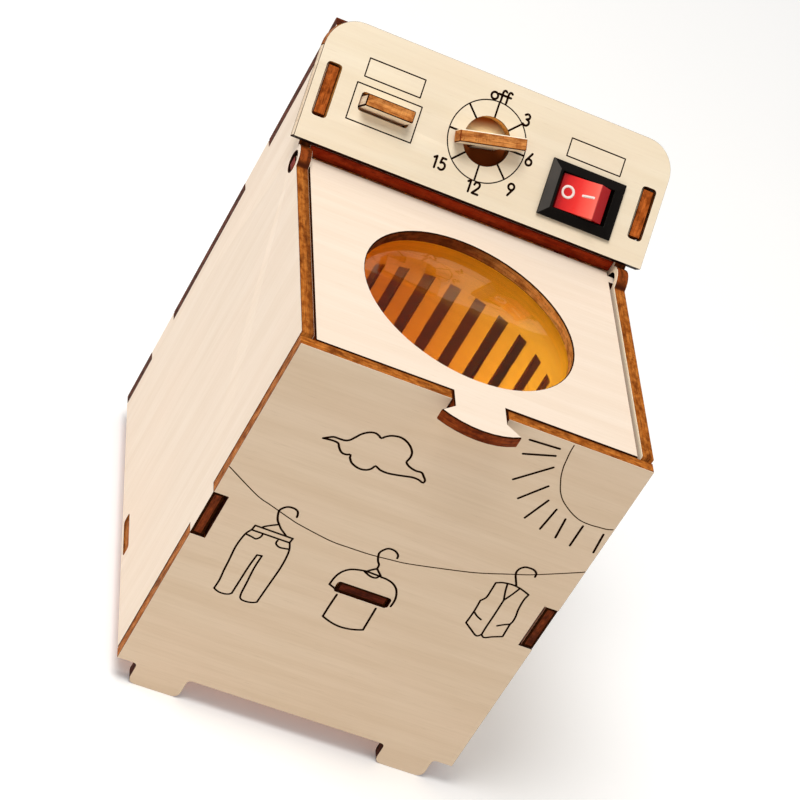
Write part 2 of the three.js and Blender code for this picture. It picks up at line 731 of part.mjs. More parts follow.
function addSwitch(face) {
  const at = new THREE.Group();
  at.position.set(switchX, switchU, 0);
  face.add(at);
  piece('switch_housing', switchHousing(), blackPlastic, at);
  piece('switch_blade_left', switchBlade(-1), brass, at);
  piece('switch_blade_right', switchBlade(1), brass, at);
  const rocker = piece('switch_rocker', switchRocker(), redPlastic, at);
  rocker.position.z = -rockerPivot;
  rocker.rotation.y = -THREE.MathUtils.degToRad(rockerTilt);
}

function addConsole(body) {
  const face = new THREE.Group();
  face.position.set(0, consoleFront, consoleLow);
  face.rotation.x = THREE.MathUtils.degToRad(consoleTilt);
  body.add(face);
  piece('console_panel', consolePanel(), veneer, face);
  const dial = new THREE.Group();
  dial.position.set(dialX, dialU, 0);
  dial.rotation.z = THREE.MathUtils.degToRad(knobTurn);
  face.add(dial);
  piece('knob_bar', knobBar(), veneer, dial);
  piece('knob_disc', knobDisc(), veneer, dial);
  piece('press_button', pressButton(), veneer, face).position.set(buttonX, buttonU, 0);
  addSwitch(face);
}

function addLid(body) {
  piece('lid_panel', lidPanel(), veneer, body);
  piece('lid_window', lidWindow(), amber, body);
}

const machine = new THREE.Group();
const body = new THREE.Group();
body.position.set(0, (gripReach - bodyDepth) / 2, footHeight);
machine.add(body);
addBoards(body);
addLid(body);
addConsole(body);
addDrive(body);
addBatteries(body);
addWires(body);

export default machine;
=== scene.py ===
import bpy
import bmesh
import math
from mathutils import Matrix, Vector


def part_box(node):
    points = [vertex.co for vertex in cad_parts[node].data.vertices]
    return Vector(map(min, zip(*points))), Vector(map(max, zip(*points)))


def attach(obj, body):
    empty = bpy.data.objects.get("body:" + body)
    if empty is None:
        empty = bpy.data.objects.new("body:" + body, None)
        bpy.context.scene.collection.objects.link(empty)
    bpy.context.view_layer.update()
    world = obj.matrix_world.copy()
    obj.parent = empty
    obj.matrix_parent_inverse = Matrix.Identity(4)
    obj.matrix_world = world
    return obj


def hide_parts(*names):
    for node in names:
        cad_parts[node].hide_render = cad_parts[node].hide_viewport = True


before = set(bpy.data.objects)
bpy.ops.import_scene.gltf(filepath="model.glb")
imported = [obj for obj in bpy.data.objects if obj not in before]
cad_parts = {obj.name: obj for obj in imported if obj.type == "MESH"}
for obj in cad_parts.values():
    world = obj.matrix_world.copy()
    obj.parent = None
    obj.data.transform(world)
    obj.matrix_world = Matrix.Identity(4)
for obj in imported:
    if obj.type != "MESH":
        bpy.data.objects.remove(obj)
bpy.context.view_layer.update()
print("frame loaded:", len(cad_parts), "parts")

mm = 0.001
facePoint = Vector((0, -0.048475, 0.0066))  # middle of the front panel's face, on the shoulder line
consolePoint = Vector((0, 0.029625, 0.1184))  # middle of the console's lower front edge
consoleTilt = math.radians(50)
basketPoint = Vector((0, -0.005475, 0.0566))  # middle of the basket's underside
dial = {"x": -1.0, "u": 16.4, "turn": math.radians(12.5), "ringRadius": 10.6, "holeRadius": 6.4,
        "ringWidth": 0.32, "spokeWidth": 0.52, "spokeCount": 8}


# A flat drawing in millimetres is laid on a face by one of these: across, up, out of the face
def planePlace(origin, across, up):
    out = Vector(across).cross(Vector(up))
    turn = Matrix((Vector(across), Vector(up), out)).transposed().to_4x4()
    return Matrix.Translation(origin) @ turn @ Matrix.Scale(mm, 4)


consoleUp = Vector((0, math.cos(consoleTilt), math.sin(consoleTilt)))
consoleOut = Vector((1, 0, 0)).cross(consoleUp)
knobTurn = Matrix.Rotation(dial["turn"], 3, consoleOut)
knobUp, knobAcross = knobTurn @ consoleUp, knobTurn @ Vector((1, 0, 0))
dialPoint = consolePoint + Vector((dial["x"] * mm, 0, 0)) + consoleUp * dial["u"] * mm
frontPlace = planePlace(facePoint, (1, 0, 0), (0, 0, 1))
consolePlace = planePlace(consolePoint, (1, 0, 0), consoleUp)


# Node trees

class Value:  # one socket, so that sums on it add their Math nodes
    def __init__(self, tree, socket):
        self.tree, self.socket = tree, socket

    def maths(self, operation, first, second):
        return self.tree.add("ShaderNodeMath", {"operation": operation}, [first, second])

    def __add__(self, other):
        return self.maths("ADD", self, other)

    def __sub__(self, other):
        return self.maths("SUBTRACT", self, other)

    def __rsub__(self, other):
        return self.maths("SUBTRACT", other, self)

    def __mul__(self, other):
        return self.maths("MULTIPLY", self, other)

    def __truediv__(self, other):
        return self.maths("DIVIDE", self, other)

    def __rtruediv__(self, other):
        return self.maths("DIVIDE", other, self)


class Tree:
    def __init__(self, group):
        self.group, self.nodes, self.links = group, group.nodes, group.links

    # Settings are set first, then the sockets, by number or name
    def add(self, kind, settings=None, values=None, out=0):
        node = self.nodes.new(kind)
        for key, value in (settings or {}).items():
            setattr(node, key, value)
        pairs = enumerate(values) if isinstance(values, (list, tuple)) else (values or {}).items()
        for key, value in pairs:
            if isinstance(value, Value):
                self.links.new(value.socket, node.inputs[key])
            elif value is not None:
                node.inputs[key].default_value = value
        return Value(self, node.outputs[out]) if len(node.outputs) else None

    def place(self):  # object coordinates
        return self.add("ShaderNodeTexCoord", None, None, 3)

    def plan(self):  # metres along a board's grain, metres across it, share of its thickness
        return self.add("ShaderNodeAttribute", {"attribute_name": "boardPlan"}, None, 1)

    def along(self, point, way):
        return self.add("ShaderNodeVectorMath", {"operation": "DOT_PRODUCT"}, [point, tuple(way)], 1)

    def mix(self, share, first, second):
        return self.add("ShaderNodeMix", {"data_type": "RGBA"}, {0: share, 6: first, 7: second}, 2)

    def noise(self, point, scale, detail=2.0, roughness=0.5):
        if isinstance(scale, tuple):  # one scale for each axis
            point = self.add("ShaderNodeVectorMath", {"operation": "MULTIPLY"}, [point, scale])
            scale = 1.0
        return self.add("ShaderNodeTexNoise", None,
                        {"Vector": point, "Scale": scale, "Detail": detail, "Roughness": roughness})

    def ramp(self, share, stops):
        made = self.add("ShaderNodeValToRGB", None, [share])
        band = made.socket.node.color_ramp
        while len(band.elements) < len(stops):
            band.elements.new(0.5)
        for element, (position, colour) in zip(band.elements, stops):
            element.position = position
            element.color = colour if isinstance(colour, tuple) else (colour, colour, colour, 1)
        return made

    def between(self, value, low, high, bottom=0.0, top=1.0):
        return self.add("ShaderNodeMapRange", {"interpolation_type": "SMOOTHSTEP"},
                        {"Value": value, "From Min": low, "From Max": high,
                         "To Min": bottom, "To Max": top})

    def bump(self, height, strength, distance):
        return self.add("ShaderNodeBump", None,
                        {"Strength": strength, "Distance": distance, "Height": height})


# Finishes

def tone(r, g, b):
    parts = [(c / 255 / 12.92) if c <= 10 else ((c / 255 + 0.055) / 1.055) ** 2.4 for c in (r, g, b)]
    return (*parts, 1)


def tones(**colours):
    return {key: tone(*colour) for key, colour in colours.items()}


finishes = {}


def newFinish(name):
    material = finishes[name] = bpy.data.materials.new(name)
    material.use_nodes = True
    material.node_tree.nodes.clear()
    return Tree(material.node_tree)


def endFinish(tree, base, rough, normal, shine=0.5, more=None):
    shader = tree.add("ShaderNodeBsdfPrincipled", None, {
        "Base Color": base, "Roughness": rough, "Specular IOR Level": shine, "Normal": normal,
        **(more or {})})
    tree.add("ShaderNodeOutputMaterial", None, {"Surface": shader})


# Painted shade in bands: each darkens or tints the base along a way
def shadedAlong(tree, place, base, bands):  # each band: way, from, to, share at from, share at to, colour
    for way, low, high, first, last, colour in bands:
        base = tree.mix(tree.between(tree.along(place, way), low, high, first, last), base, colour)
    return base


def veneerFace(name, look):
    t = newFinish(name)
    plan = t.plan()
    fibre = t.noise(plan, (55, 1500, 0), 3.0, 0.6)
    streak = t.noise(plan, (14, 210, 0))
    cloud = t.noise(plan, (26, 40, 0))
    pore = t.between(t.noise(plan, (170, 2600, 0), 1.0), 0.66, 0.8)
    base = t.mix(t.between(streak, 0.3, 0.7), look["pale"], look["deep"])
    base = t.mix(t.between(cloud, 0.35, 0.75, 0, look["cloudShare"]), base, look["blush"])
    base = t.mix(t.between(fibre, 0.35, 0.8, 0, look["fibreShare"]), base, look["fibre"])
    base = t.mix(pore * look["poreShare"], base, look["pore"])
    if look["bands"]:
        base = shadedAlong(t, t.place(), base, look["bands"])
    rise = fibre * 0.5 + streak * 0.3 - pore * 0.4
    endFinish(t, base, t.between(fibre, 0.2, 0.8, *look["rough"]), t.bump(rise, look["relief"], 0.00004),
              look["shine"])


# The laser leaves an edge dark at both faces, with the three layers and scorched streaks between
def cutEdge(name, look):
    t = newFinish(name)
    plan, place = t.plan(), t.place()
    through = t.add("ShaderNodeSeparateXYZ", None, [plan], 2)
    mottle = t.noise(plan, (380, 380, 2.6), 4.0, 0.62)
    scorch = t.noise(plan, (110, 110, 1.4))
    streak = t.noise(plan, (230, 230, 9.0), 2.0, 0.6)
    beam = t.noise(plan, (3200, 3200, 0.6), 1.0)
    speck = t.between(t.noise(place, 1500), 0.62, 0.72)
    layers = t.ramp(through, [(0.0, 0.35), (0.07, 0.85), (0.3, 0.95), (0.345, 0.62), (0.39, 1.0),
                              (0.62, 0.97), (0.665, 0.6), (0.71, 0.85), (0.93, 0.75), (1.0, 0.25)])
    base = t.mix(t.between(mottle, 0.32, 0.68), look["light"], look["mid"])
    for share in (t.between(scorch * 0.55 + mottle * 0.45, 0.46, 0.68, 0, look["burnShare"]),
                  t.between(streak, 0.55, 0.72, 0, look["streakShare"]), 1 - layers, speck * 0.5,
                  t.between(beam, 0.35, 0.8, 0, 0.2), t.between(through, 0.2, 0.95, 0, look["rearShare"])):
        base = t.mix(share, base, look["dark"])
    # painted shade: darker along a way, where the look asks for it
    if "fade" in look:
        way, low, high, share, shade = look["fade"]
        toned = t.mix(t.between(mottle, 0.35, 0.65), shade, look["dark"])
        base = shadedAlong(t, place, base, [(way, low, high, 0, share, toned)])
    if "scorched" in look:  # a dark band across the way
        way, middle, half = look["scorched"]
        along = t.along(place, way)
        share = t.between(along, middle - half, middle) * t.between(along, middle, middle + half, 1, 0)
        base = t.mix(share, base, look["dark"])
    rise = mottle * 0.6 + beam * 0.4 - speck * 0.3
    endFinish(t, base, t.between(mottle, 0.3, 0.7, 0.5, 0.68), t.bump(rise, 0.5, 0.00008), 0.05)


def charredLine(name, dark, light):
    t = newFinish(name)
    grain = t.noise(t.place(), 2200, 3.0)
    endFinish(t, t.mix(t.between(grain, 0.3, 0.75), tone(*dark), tone(*light)),
              t.between(grain, 0.3, 0.7, 0.62, 0.8), t.bump(grain, 0.4, 0.00004), 0.0)


# Two colours in soft clouds, or colours at places along a way
def moulded(name, colours, rough, shine, coat, relief, grainScale, way=None):
    t = newFinish(name)
    place = t.place()
    grain = t.noise(place, grainScale)
    if way:
        base = t.ramp((t.along(place, way["out"]) - way["from"]) / (way["to"] - way["from"]), colours)
    else:
        base = t.mix(t.between(t.noise(place, 120), 0.3, 0.7), tone(*colours[0]), tone(*colours[1]))
    endFinish(t, base, t.between(grain, 0.3, 0.7, rough - 0.04, rough + 0.06),
              t.bump(grain, relief, 0.00003), shine, {"Coat Weight": coat})


def sheetMetal(name, bright, dull, rough, brushScale):
    t = newFinish(name)
    place = t.place()
    brush = t.noise(place, brushScale)
    tarnish = t.between(t.noise(place, 180, 3.0), 0.35, 0.75)
    endFinish(t, t.mix(tarnish, tone(*bright), tone(*dull)),
              t.between(brush, 0.3, 0.7, rough - 0.06, rough + 0.1), t.bump(brush, 0.3, 0.00002), 0.5,
              {"Metallic": 1.0})


# Clear sheet: light from the lamps passes it tinted, so that the drum below is lit
def clearSheet(name, look):
    t = newFinish(name)
    place = t.place()
    # painted shade: the sheet deepens towards the left, where the lid's hole shades the drum
    across = t.between(t.along(place, (1, 0, 0)), look["shadeFrom"], look["deepTo"])
    sheet = t.add("ShaderNodeBsdfPrincipled", None, {
        "Base Color": t.mix(across, look["deep"], look["colour"]), "Roughness": look["rough"],
        "IOR": look["ior"], "Transmission Weight": 1.0,
        "Normal": t.bump(t.noise(place, 90, 1.0), 0.1, 0.0002)})
    tint = t.add("ShaderNodeBsdfTransparent", None, {"Color": look["tint"]})
    shadow = t.add("ShaderNodeLightPath", None, None, 1)
    whole = t.add("ShaderNodeMixShader", None, [shadow, sheet, tint])
    t.add("ShaderNodeOutputMaterial", None, {"Surface": whole})


veneerLook = {**tones(pale=(243, 225, 206), deep=(237, 217, 196), blush=(241, 219, 198),
                      fibre=(228, 207, 181), pore=(208, 182, 150)),
              "cloudShare": 0.5, "fibreShare": 0.3, "poreShare": 0.22, "shine": 0.2, "relief": 0.3,
              "rough": (0.5, 0.62), "bands": []}
# a lighter copy of the veneer, painted light, for faces that the lamp leaves in shade
paintedLightLook = tones(pale=(255, 241, 214), deep=(253, 235, 205), blush=(255, 234, 206), fibre=(246, 222, 190))
dialLevel = dialPoint.dot(knobUp)
veneers = {
    "birchVeneer": {},
    "brightVeneer": paintedLightLook,
    # painted light as above, with painted shade inside the body
    "smokedVeneer": {**paintedLightLook, "bands": [  # redder inside the body, below the lid
        ((0, 0, 1), 0.102, 0.104, 0.95, 0, tone(244, 174, 140))]},
    # a darker copy of the veneer for the front panel: painted shade
    "frontVeneer": tones(pale=(226, 202, 174), deep=(219, 193, 163), blush=(225, 198, 170),
                         fibre=(206, 179, 146), pore=(180, 151, 118)),
    "consoleVeneer": tones(pale=(241, 226, 200), deep=(235, 218, 189), blush=(240, 220, 192)),
    # a redder copy of the veneer for faces inside the body: painted shade of the cavity
    "innerVeneer": {**tones(pale=(246, 184, 150), deep=(236, 170, 134), blush=(240, 172, 140)),
                    "fibreShare": 0.5},
    "basketWood": {**tones(pale=(255, 238, 202), deep=(250, 230, 188)), "fibreShare": 0.4},
    "discVeneer": {  # painted shade: darker towards its upper rim and below the bar
        **tones(pale=(255, 236, 190), deep=(250, 226, 176), blush=(250, 226, 180), fibre=(226, 190, 136)),
        "bands": [(knobUp, dialLevel + 0.0024, dialLevel + 0.006, 0, 1, tone(158, 80, 30)),
                  (knobUp, dialLevel - 0.0015, dialLevel + 0.0005, 1, 0, tone(116, 54, 20))],
        "rough": (0.6, 0.7), "shine": 0.0},
}


def edgeLook(light, mid, dark, burn, streak, **more):
    return {**tones(light=light, mid=mid, dark=dark), "burnShare": burn, "streakShare": streak,
            "rearShare": 0.0, **more}


# Painted shades are a way, from, to, the share at to and the colour there
# Side panels' cut edges: painted shade towards the rear, under the console
sideEdge = edgeLook((206, 124, 50), (164, 84, 20), (66, 24, 5), 0.6, 0.6,
                    fade=((0, 1, 0), 0.021, 0.0255, 0.8, tone(138, 56, 18)),
                    scorched=((0, 1, 0), 0.0243, 0.0009))
edges = {
    "laserEdge": edgeLook((206, 124, 50), (164, 84, 20), (66, 24, 5), 0.6, 0.6),
    "leftLaserEdge": {**sideEdge, "rearShare": 0.45},
    "rightLaserEdge": sideEdge,
    "backLaserEdge": edgeLook((110, 48, 20), (80, 32, 12), (22, 9, 4), 0.7, 0.5),
    # near black: laser char darkened further with painted shade, for the console's lower edge and the hinge
    # hole
    "blackLaserEdge": edgeLook((40, 16, 7), (26, 11, 5), (12, 5, 2), 0.7, 0.5),
    # cuts inside the console: brighter than the plain cut edge, painted light on the lit wall of the dial's
    # hole, and painted shade below the dial's middle, under the bar
    "consoleHoleEdge": edgeLook((252, 196, 112), (234, 166, 84), (130, 70, 24), 0.4, 0.4, fade=(
        -knobUp, -dialLevel - 0.001, -dialLevel + 0.002, 1.0, tone(40, 16, 5))),
    # the window hole's wall: brighter than the plain cut edge, painted light on its lit right side, and
    # painted shade towards the left
    "lidHoleEdge": edgeLook((250, 172, 92), (214, 130, 60), (76, 26, 6), 0.5, 0.5, fade=(
        (-1, 0, 0), -0.026, 0.002, 0.9, tone(112, 36, 8))),
    "barEdge": edgeLook((230, 154, 82), (194, 114, 50), (92, 30, 8), 0.55, 0.6),
    "pivotEnd": edgeLook((150, 52, 44), (124, 36, 30), (60, 14, 10), 0.5, 0.4),
    "consoleTabEdge": edgeLook((204, 106, 42), (160, 74, 18), (62, 22, 4), 0.6, 0.7),
    # darker than tabEdge: painted shade on the shelf's tab end, sunk in its slot
    "shelfTabEdge": edgeLook((96, 32, 8), (72, 20, 3), (34, 8, 1), 0.7, 0.6),
    "railEdge": edgeLook((184, 62, 22), (170, 44, 8), (84, 16, 4), 0.5, 0.4),
    "gripEdge": edgeLook((150, 66, 20), (112, 40, 8), (46, 14, 4), 0.6, 0.6),
    "tabEdge": edgeLook((140, 62, 24), (104, 42, 14), (40, 12, 4), 0.7, 0.6),
    "darkEdge": edgeLook((92, 36, 14), (60, 22, 8), (22, 9, 4), 0.7, 0.5),
    # pale cut edge: painted light on ends that face the lamp at the left
    "paleEdge": edgeLook((246, 228, 202), (238, 216, 186), (170, 124, 84), 0.2, 0.25),
}
lines = {  # the darker and the lighter shade
    "charredCorner": ((26, 10, 3), (58, 26, 8)),
    "blackCharredCorner": ((14, 6, 2), (30, 13, 5)),
    "burntCorner": ((66, 26, 7), (112, 54, 18)),
    "barEndCorner": ((104, 38, 14), (142, 66, 26)),
    # paleCorner is a corner left unburnt, lighter than the face; on the front panel's upper corners and the
    # right side panel's corners it is a painted highlight
    "paleCorner": ((246, 226, 196), (255, 244, 224)),
    "engravedLine": ((20, 8, 2), (38, 18, 6)),
    "fineEngravedLine": ((42, 24, 8), (66, 42, 18)),
}
plastics = {  # two colours, roughness, shine, coat, relief and the grain's scale
    "blackPlastic": (((11, 8, 6), (16, 12, 9)), 0.46, 0.08, 0.0, 0.2, 2600),
    # a lighter grey for the bezel's left slope: painted light
    "litBlackPlastic": (((66, 61, 56), (56, 52, 48)), 0.4, 0.2, 0.0, 0.2, 2600),
    "whitePlastic": (((236, 233, 226), (226, 222, 212)), 0.45, 0.4, 0.0, 0.15, 1500),
    "whitePrint": (((250, 236, 226), (240, 220, 212)), 0.5, 0.3, 0.0, 0.1, 2000),
    "cellSleeve": (((40, 118, 72), (34, 106, 62)), 0.3, 0.5, 0.3, 0.05, 900),
    "cellCollar": (((214, 200, 120), (204, 188, 108)), 0.3, 0.5, 0.3, 0.05, 900),
    "redWireSleeve": (((176, 26, 28), (160, 20, 24)), 0.42, 0.4, 0.0, 0.1, 1800),
    "blackWireSleeve": (((26, 26, 28), (36, 36, 38)), 0.45, 0.4, 0.0, 0.1, 1800),
}
metals = {  # bright and dull colour, roughness and the brushing's scale along each axis
    "motorSteel": ((196, 198, 200), (176, 178, 182), 0.3, (300, 300, 3000)),
    "brassBlade": ((214, 178, 98), (190, 150, 76), 0.32, (2500, 300, 300)),
}
amberLook = {**tones(colour=(255, 216, 96), deep=(248, 164, 62), tint=(255, 250, 240)),
             "shadeFrom": -0.03, "deepTo": 0.022, "rough": 0.03, "ior": 1.49}

for name, look in veneers.items():
    veneerFace(name, {**veneerLook, **look})
for name, look in edges.items():
    cutEdge(name, look)
for make, looks in ((charredLine, lines), (moulded, plastics), (sheetMetal, metals)):
    for name, look in looks.items():
        make(name, *look)
clearSheet("amberSheet", amberLook)
print("finishes made:", len(finishes))


# Meshes

def addPiece(name, data, *keys):
    for key in keys:
        data.materials.append(finishes[key])
    piece = bpy.data.objects.new(name, data)
    bpy.context.scene.collection.objects.link(piece)
    return piece


def evaluatedMesh(piece):
    made = bpy.data.meshes.new_from_object(
        piece.evaluated_get(bpy.context.evaluated_depsgraph_get()))
    bpy.data.objects.remove(piece)
    return made


def mergedCopy(node):
    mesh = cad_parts[node].data.copy()
    mesh.materials.clear()
    shape = bmesh.new()
    shape.from_mesh(mesh)
    bmesh.ops.remove_doubles(shape, verts=shape.verts, dist=2e-6)
    bmesh.ops.dissolve_limit(shape, angle_limit=math.radians(1), verts=shape.verts,
                             edges=shape.edges, delimit=set())
    shape.to_mesh(mesh)
    shape.free()
    return mesh


def softenEdges(name, mesh, width, cornerMaterial=-1, segments=1):
    piece = addPiece(name, mesh)
    bevel = piece.modifiers.new("softEdge", "BEVEL")
    bevel.width = width
    bevel.segments = segments
    bevel.limit_method = "ANGLE"
    bevel.angle_limit = math.radians(36)
    bevel.material = cornerMaterial
    bevel.harden_normals = False
    return evaluatedMesh(piece)


def smoothRounds(mesh, angle=34):
    mesh.polygons.foreach_set("use_smooth", [True] * len(mesh.polygons))
    mesh.set_sharp_from_angle(angle=math.radians(angle))


def keepFlats(name, mesh):  # large faces stay flat beside their rounded corners
    piece = addPiece(name, mesh)
    piece.modifiers.new("keepFlats", "WEIGHTED_NORMAL").keep_sharp = True
    return evaluatedMesh(piece)


def placeOnBody(piece, body, slot, *nodes):
    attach(piece, body)
    if nodes:
        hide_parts(*nodes)
    return piece


def pieceName(node):
    first, *rest = node.split("_")
    return first + "".join(word.capitalize() for word in rest)


def writePlan(mesh, values):
    mesh.attributes.new("boardPlan", "FLOAT_VECTOR", "POINT").data.foreach_set("vector", values)


# Boards. out points out of the board's show face and grain runs along its fibres. corners are the
# finishes of its cut corners at the show face and behind, ridge is that of the corners between two
# cut edges, shaded that of the front corners that face down, and back that of the rear face. inner
# is the finish of the cuts farther than margin from the outline. ends are the edges that differ and
# the width of their charred rims, hole is a round hole whose wall differs, and no line is drawn
# where the board ends the way that plain points
hingeHole = {"middle": (0, 0.0283, 0.112), "radius": 0.0034, "finish": "blackLaserEdge"}
porthole = {"middle": (0, -0.009, 0.112), "radius": 0.0287, "finish": "lidHoleEdge"}
sideEnds = [((0, -1, 0), "tabEdge", 0.6), ((0, 1, 0), "tabEdge", 0.4), (consoleOut, "consoleTabEdge", 0.12)]
boards = {
    # the front panel's upper show corners are pale, a painted highlight; those that face down or sideways are
    # charred
    "front_panel": {"out": (0, -1, 0), "face": "frontVeneer", "inner": "darkEdge",
                    "corners": ("paleCorner", "charredCorner"), "shaded": "charredCorner", "corner": 0.34},
    "back_panel": {"out": (0, 1, 0), "edge": "backLaserEdge", "back": "innerVeneer"},
    "left_side_panel": {"name": "leftSide", "out": (-1, 0, 0), "grain": (0, 0, 1), "edge": "leftLaserEdge",
                        "corners": ("burntCorner", "paleCorner"), "hole": hingeHole, "ends": sideEnds},
    "right_side_panel": {"name": "rightSide", "out": (1, 0, 0), "grain": (0, 0, 1),
                         "edge": "rightLaserEdge", "back": "smokedVeneer",
                         "corners": ("paleCorner", "paleCorner"), "hole": hingeHole, "ends": sideEnds},
    "floor_panel": {"out": (0, 0, -1), "face": "innerVeneer"},
    "motor_shelf": {"out": (0, 0, 1), "face": "innerVeneer", "ridge": "blackCharredCorner",
                    "ends": [((0, -1, 0), "shelfTabEdge", 0.4)]},
    "motor_collar": {"out": (0, 0, 1), "face": "innerVeneer"},
    "console_rail": {"out": (0, 0, 1), "edge": "railEdge", "corners": ("railEdge", "railEdge")},
    "console_panel": {"out": consoleOut, "face": "consoleVeneer", "corner": 0.34,
                      "corners": ("blackCharredCorner", "blackCharredCorner"),
                      "inner": "consoleHoleEdge", "margin": 2.0,
                      "ends": [((-1, 0, 0), "paleEdge", 0.25), (-consoleUp, "blackLaserEdge", 0)]},
    "lid_panel": {"body": "lid", "out": (0, 0, 1), "edge": "gripEdge", "corner": 0.28, "hole": porthole,
                  "plain": (0, 1, 0),
                  "ends": [((-1, 0, 0), "pivotEnd", 0), ((1, 0, 0), "pivotEnd", 0)]},
    "knob_disc": {"body": "knob", "out": consoleOut, "face": "discVeneer"},
    "knob_bar": {"body": "knob", "out": -knobUp, "grain": knobAcross, "edge": "barEdge",
                 "face": "brightVeneer", "corners": ("burntCorner", "paleCorner"), "ridge": "barEndCorner"},
    "press_button": {"name": "pressTab", "body": "press_tab", "out": -consoleUp, "edge": "barEdge",
                     "face": "brightVeneer", "ridge": "charredCorner", "endDepth": 4.0,
                     "ends": [((-1, 0, 0), "paleEdge", 0.2)]},
    "basket_floor": {"body": "drum", "out": (0, 0, 1), "face": "basketWood", "slot": "basket_wood"},
}
plainBoard = {"name": None, "body": "machine", "slot": "board", "grain": (1, 0, 0), "face": "birchVeneer",
              "back": None, "edge": "laserEdge", "inner": None, "corners": ("charredCorner", "charredCorner"),
              "ridge": None, "shaded": None, "hole": None, "ends": [], "plain": None,
              "endDepth": 0.3, "margin": 0.3, "corner": 0.25}
boardSlots = {"face": 0, "edge": 1, "corner": 2, "rear": 3, "inner": 4, "ridge": 5, "shaded": 6,
              "char": 7, "back": 8, "hole": 9, "firstEnd": 10}
sorting = {"flat": 0.9, "end": 0.95, "endArea": 8 * mm * mm, "turned": 0.2, "byRim": 0.3,
           "rimReach": (-0.6 * mm, 0.1 * mm), "plainDepth": 0.5 * mm}  # how near a face comes to count


def sortEdges(mesh, look, out):  # which finish each face takes before its corners are cut
    sides = (Vector(look["grain"]), out.cross(Vector(look["grain"])))
    spans = [[v.co.dot(side) for v in mesh.vertices] for side in sides]
    margin, hole, reaches = look["margin"] * mm, look["hole"], []
    for polygon in mesh.polygons:
        facing, middle = polygon.normal.dot(out), polygon.center
        if abs(facing) > sorting["flat"]:
            polygon.material_index = boardSlots["face" if facing > 0 else "back"]
            continue
        within = all(min(span) + margin < middle.dot(side) < max(span) - margin
                     for side, span in zip(sides, spans))
        polygon.material_index = boardSlots["inner" if within else "edge"]
        if hole:
            away = middle - Vector(hole["middle"])
            if (away - out * away.dot(out)).length < hole["radius"]:
                polygon.material_index = boardSlots["hole"]
    for k, (way, _, _) in enumerate(look["ends"]):
        way = Vector(way)
        chosen = [p for p in mesh.polygons
                  if p.normal.dot(way) > sorting["end"] and p.area > sorting["endArea"]]
        reaches.append(max(p.center.dot(way) for p in chosen))
        for polygon in chosen:
            if polygon.center.dot(way) > reaches[k] - look["endDepth"] * mm:
                polygon.material_index = boardSlots["firstEnd"] + k
    return reaches


def sortCorners(mesh, look, out, reaches):  # and which its corners take
    plain = Vector(look["plain"] or (0, 0, 0))
    reach = max(v.co.dot(plain) for v in mesh.vertices) - sorting["plainDepth"]
    rims = [(Vector(way), end) for (way, _, rim), end in zip(look["ends"], reaches) if rim]
    behind, ahead = sorting["rimReach"]
    for polygon in mesh.polygons:
        if polygon.material_index != boardSlots["corner"]:
            continue
        outward = polygon.normal.dot(out)
        byRim = any(behind < polygon.center.dot(way) - end < ahead
                    and polygon.normal.dot(way) > sorting["byRim"] for way, end in rims)
        if byRim:
            polygon.material_index = boardSlots["char"]
        elif look["plain"] and polygon.center.dot(plain) > reach:
            polygon.material_index = boardSlots["face"]
        elif outward < -sorting["turned"]:
            polygon.material_index = boardSlots["rear"]
        elif outward < sorting["turned"]:
            polygon.material_index = boardSlots["ridge"]
        elif polygon.normal.z < sorting["turned"]:
            polygon.material_index = boardSlots["shaded"]


def charRim(mesh, slot, width):  # a charred border round the faces of one slot
    shape = bmesh.new()
    shape.from_mesh(mesh)
    chosen = [f for f in shape.faces if f.material_index == slot]
    border = bmesh.ops.inset_region(shape, faces=chosen, thickness=width, use_even_offset=True,
                                    use_boundary=True)["faces"]
    for face in border:
        face.material_index = boardSlots["char"]
    shape.to_mesh(mesh)
    shape.free()


def planBoard(mesh, out, grain, seed):
    side = out.cross(grain)
    levels = [v.co.dot(out) for v in mesh.vertices]
    top, depth = max(levels), max(levels) - min(levels)
    values = []
    for vertex, level in zip(mesh.vertices, levels):
        values += [vertex.co.dot(grain) + seed * 0.71, vertex.co.dot(side) + seed * 0.37,
                   (top - level) / depth]
    writePlan(mesh, values)


def dressBoard(node, seed):
    look = {**plainBoard, **boards[node]}
    name = look["name"] or pieceName(node)
    mesh = mergedCopy(node)
    out = Vector(look["out"])
    reaches = sortEdges(mesh, look, out)
    show, rear = look["corners"]
    for key in (look["face"], look["edge"], show, rear, look["inner"] or look["edge"],
                look["ridge"] or look["edge"], look["shaded"] or show, "charredCorner",
                look["back"] or look["face"], look["hole"]["finish"] if look["hole"] else "charredCorner",
                *[finish for _, finish, _ in look["ends"]]):
        mesh.materials.append(finishes[key])
    mesh = softenEdges(name + "Bevel", mesh, look["corner"] * mm, boardSlots["corner"])
    sortCorners(mesh, look, out, reaches)
    for k, (_, _, rim) in enumerate(look["ends"]):
        if rim:
            charRim(mesh, boardSlots["firstEnd"] + k, rim * mm)
    planBoard(mesh, out, Vector(look["grain"]), seed)
    smoothRounds(mesh)
    return placeOnBody(addPiece(name, mesh), look["body"], look["slot"], node)


for seed, node in enumerate(boards):
    dressBoard(node, seed)
print("boards dressed:", len(boards))


# Geometry Nodes

def newTree(name, *labels):
    group = bpy.data.node_groups.new(name, "GeometryNodeTree")
    kinds = [(label, "Int" if label.endswith("Count") else "Float") for label in labels]
    for label, kind in (("Geometry", "Geometry"), *kinds, ("Finish", "Material")):
        group.interface.new_socket(name=label, in_out="INPUT", socket_type="NodeSocket" + kind)
    group.interface.new_socket(name="Geometry", in_out="OUTPUT", socket_type="NodeSocketGeometry")
    source = group.nodes.new("NodeGroupInput")
    tree = Tree(group)
    return tree, {s.name: Value(tree, s) for s in source.outputs if s.name}


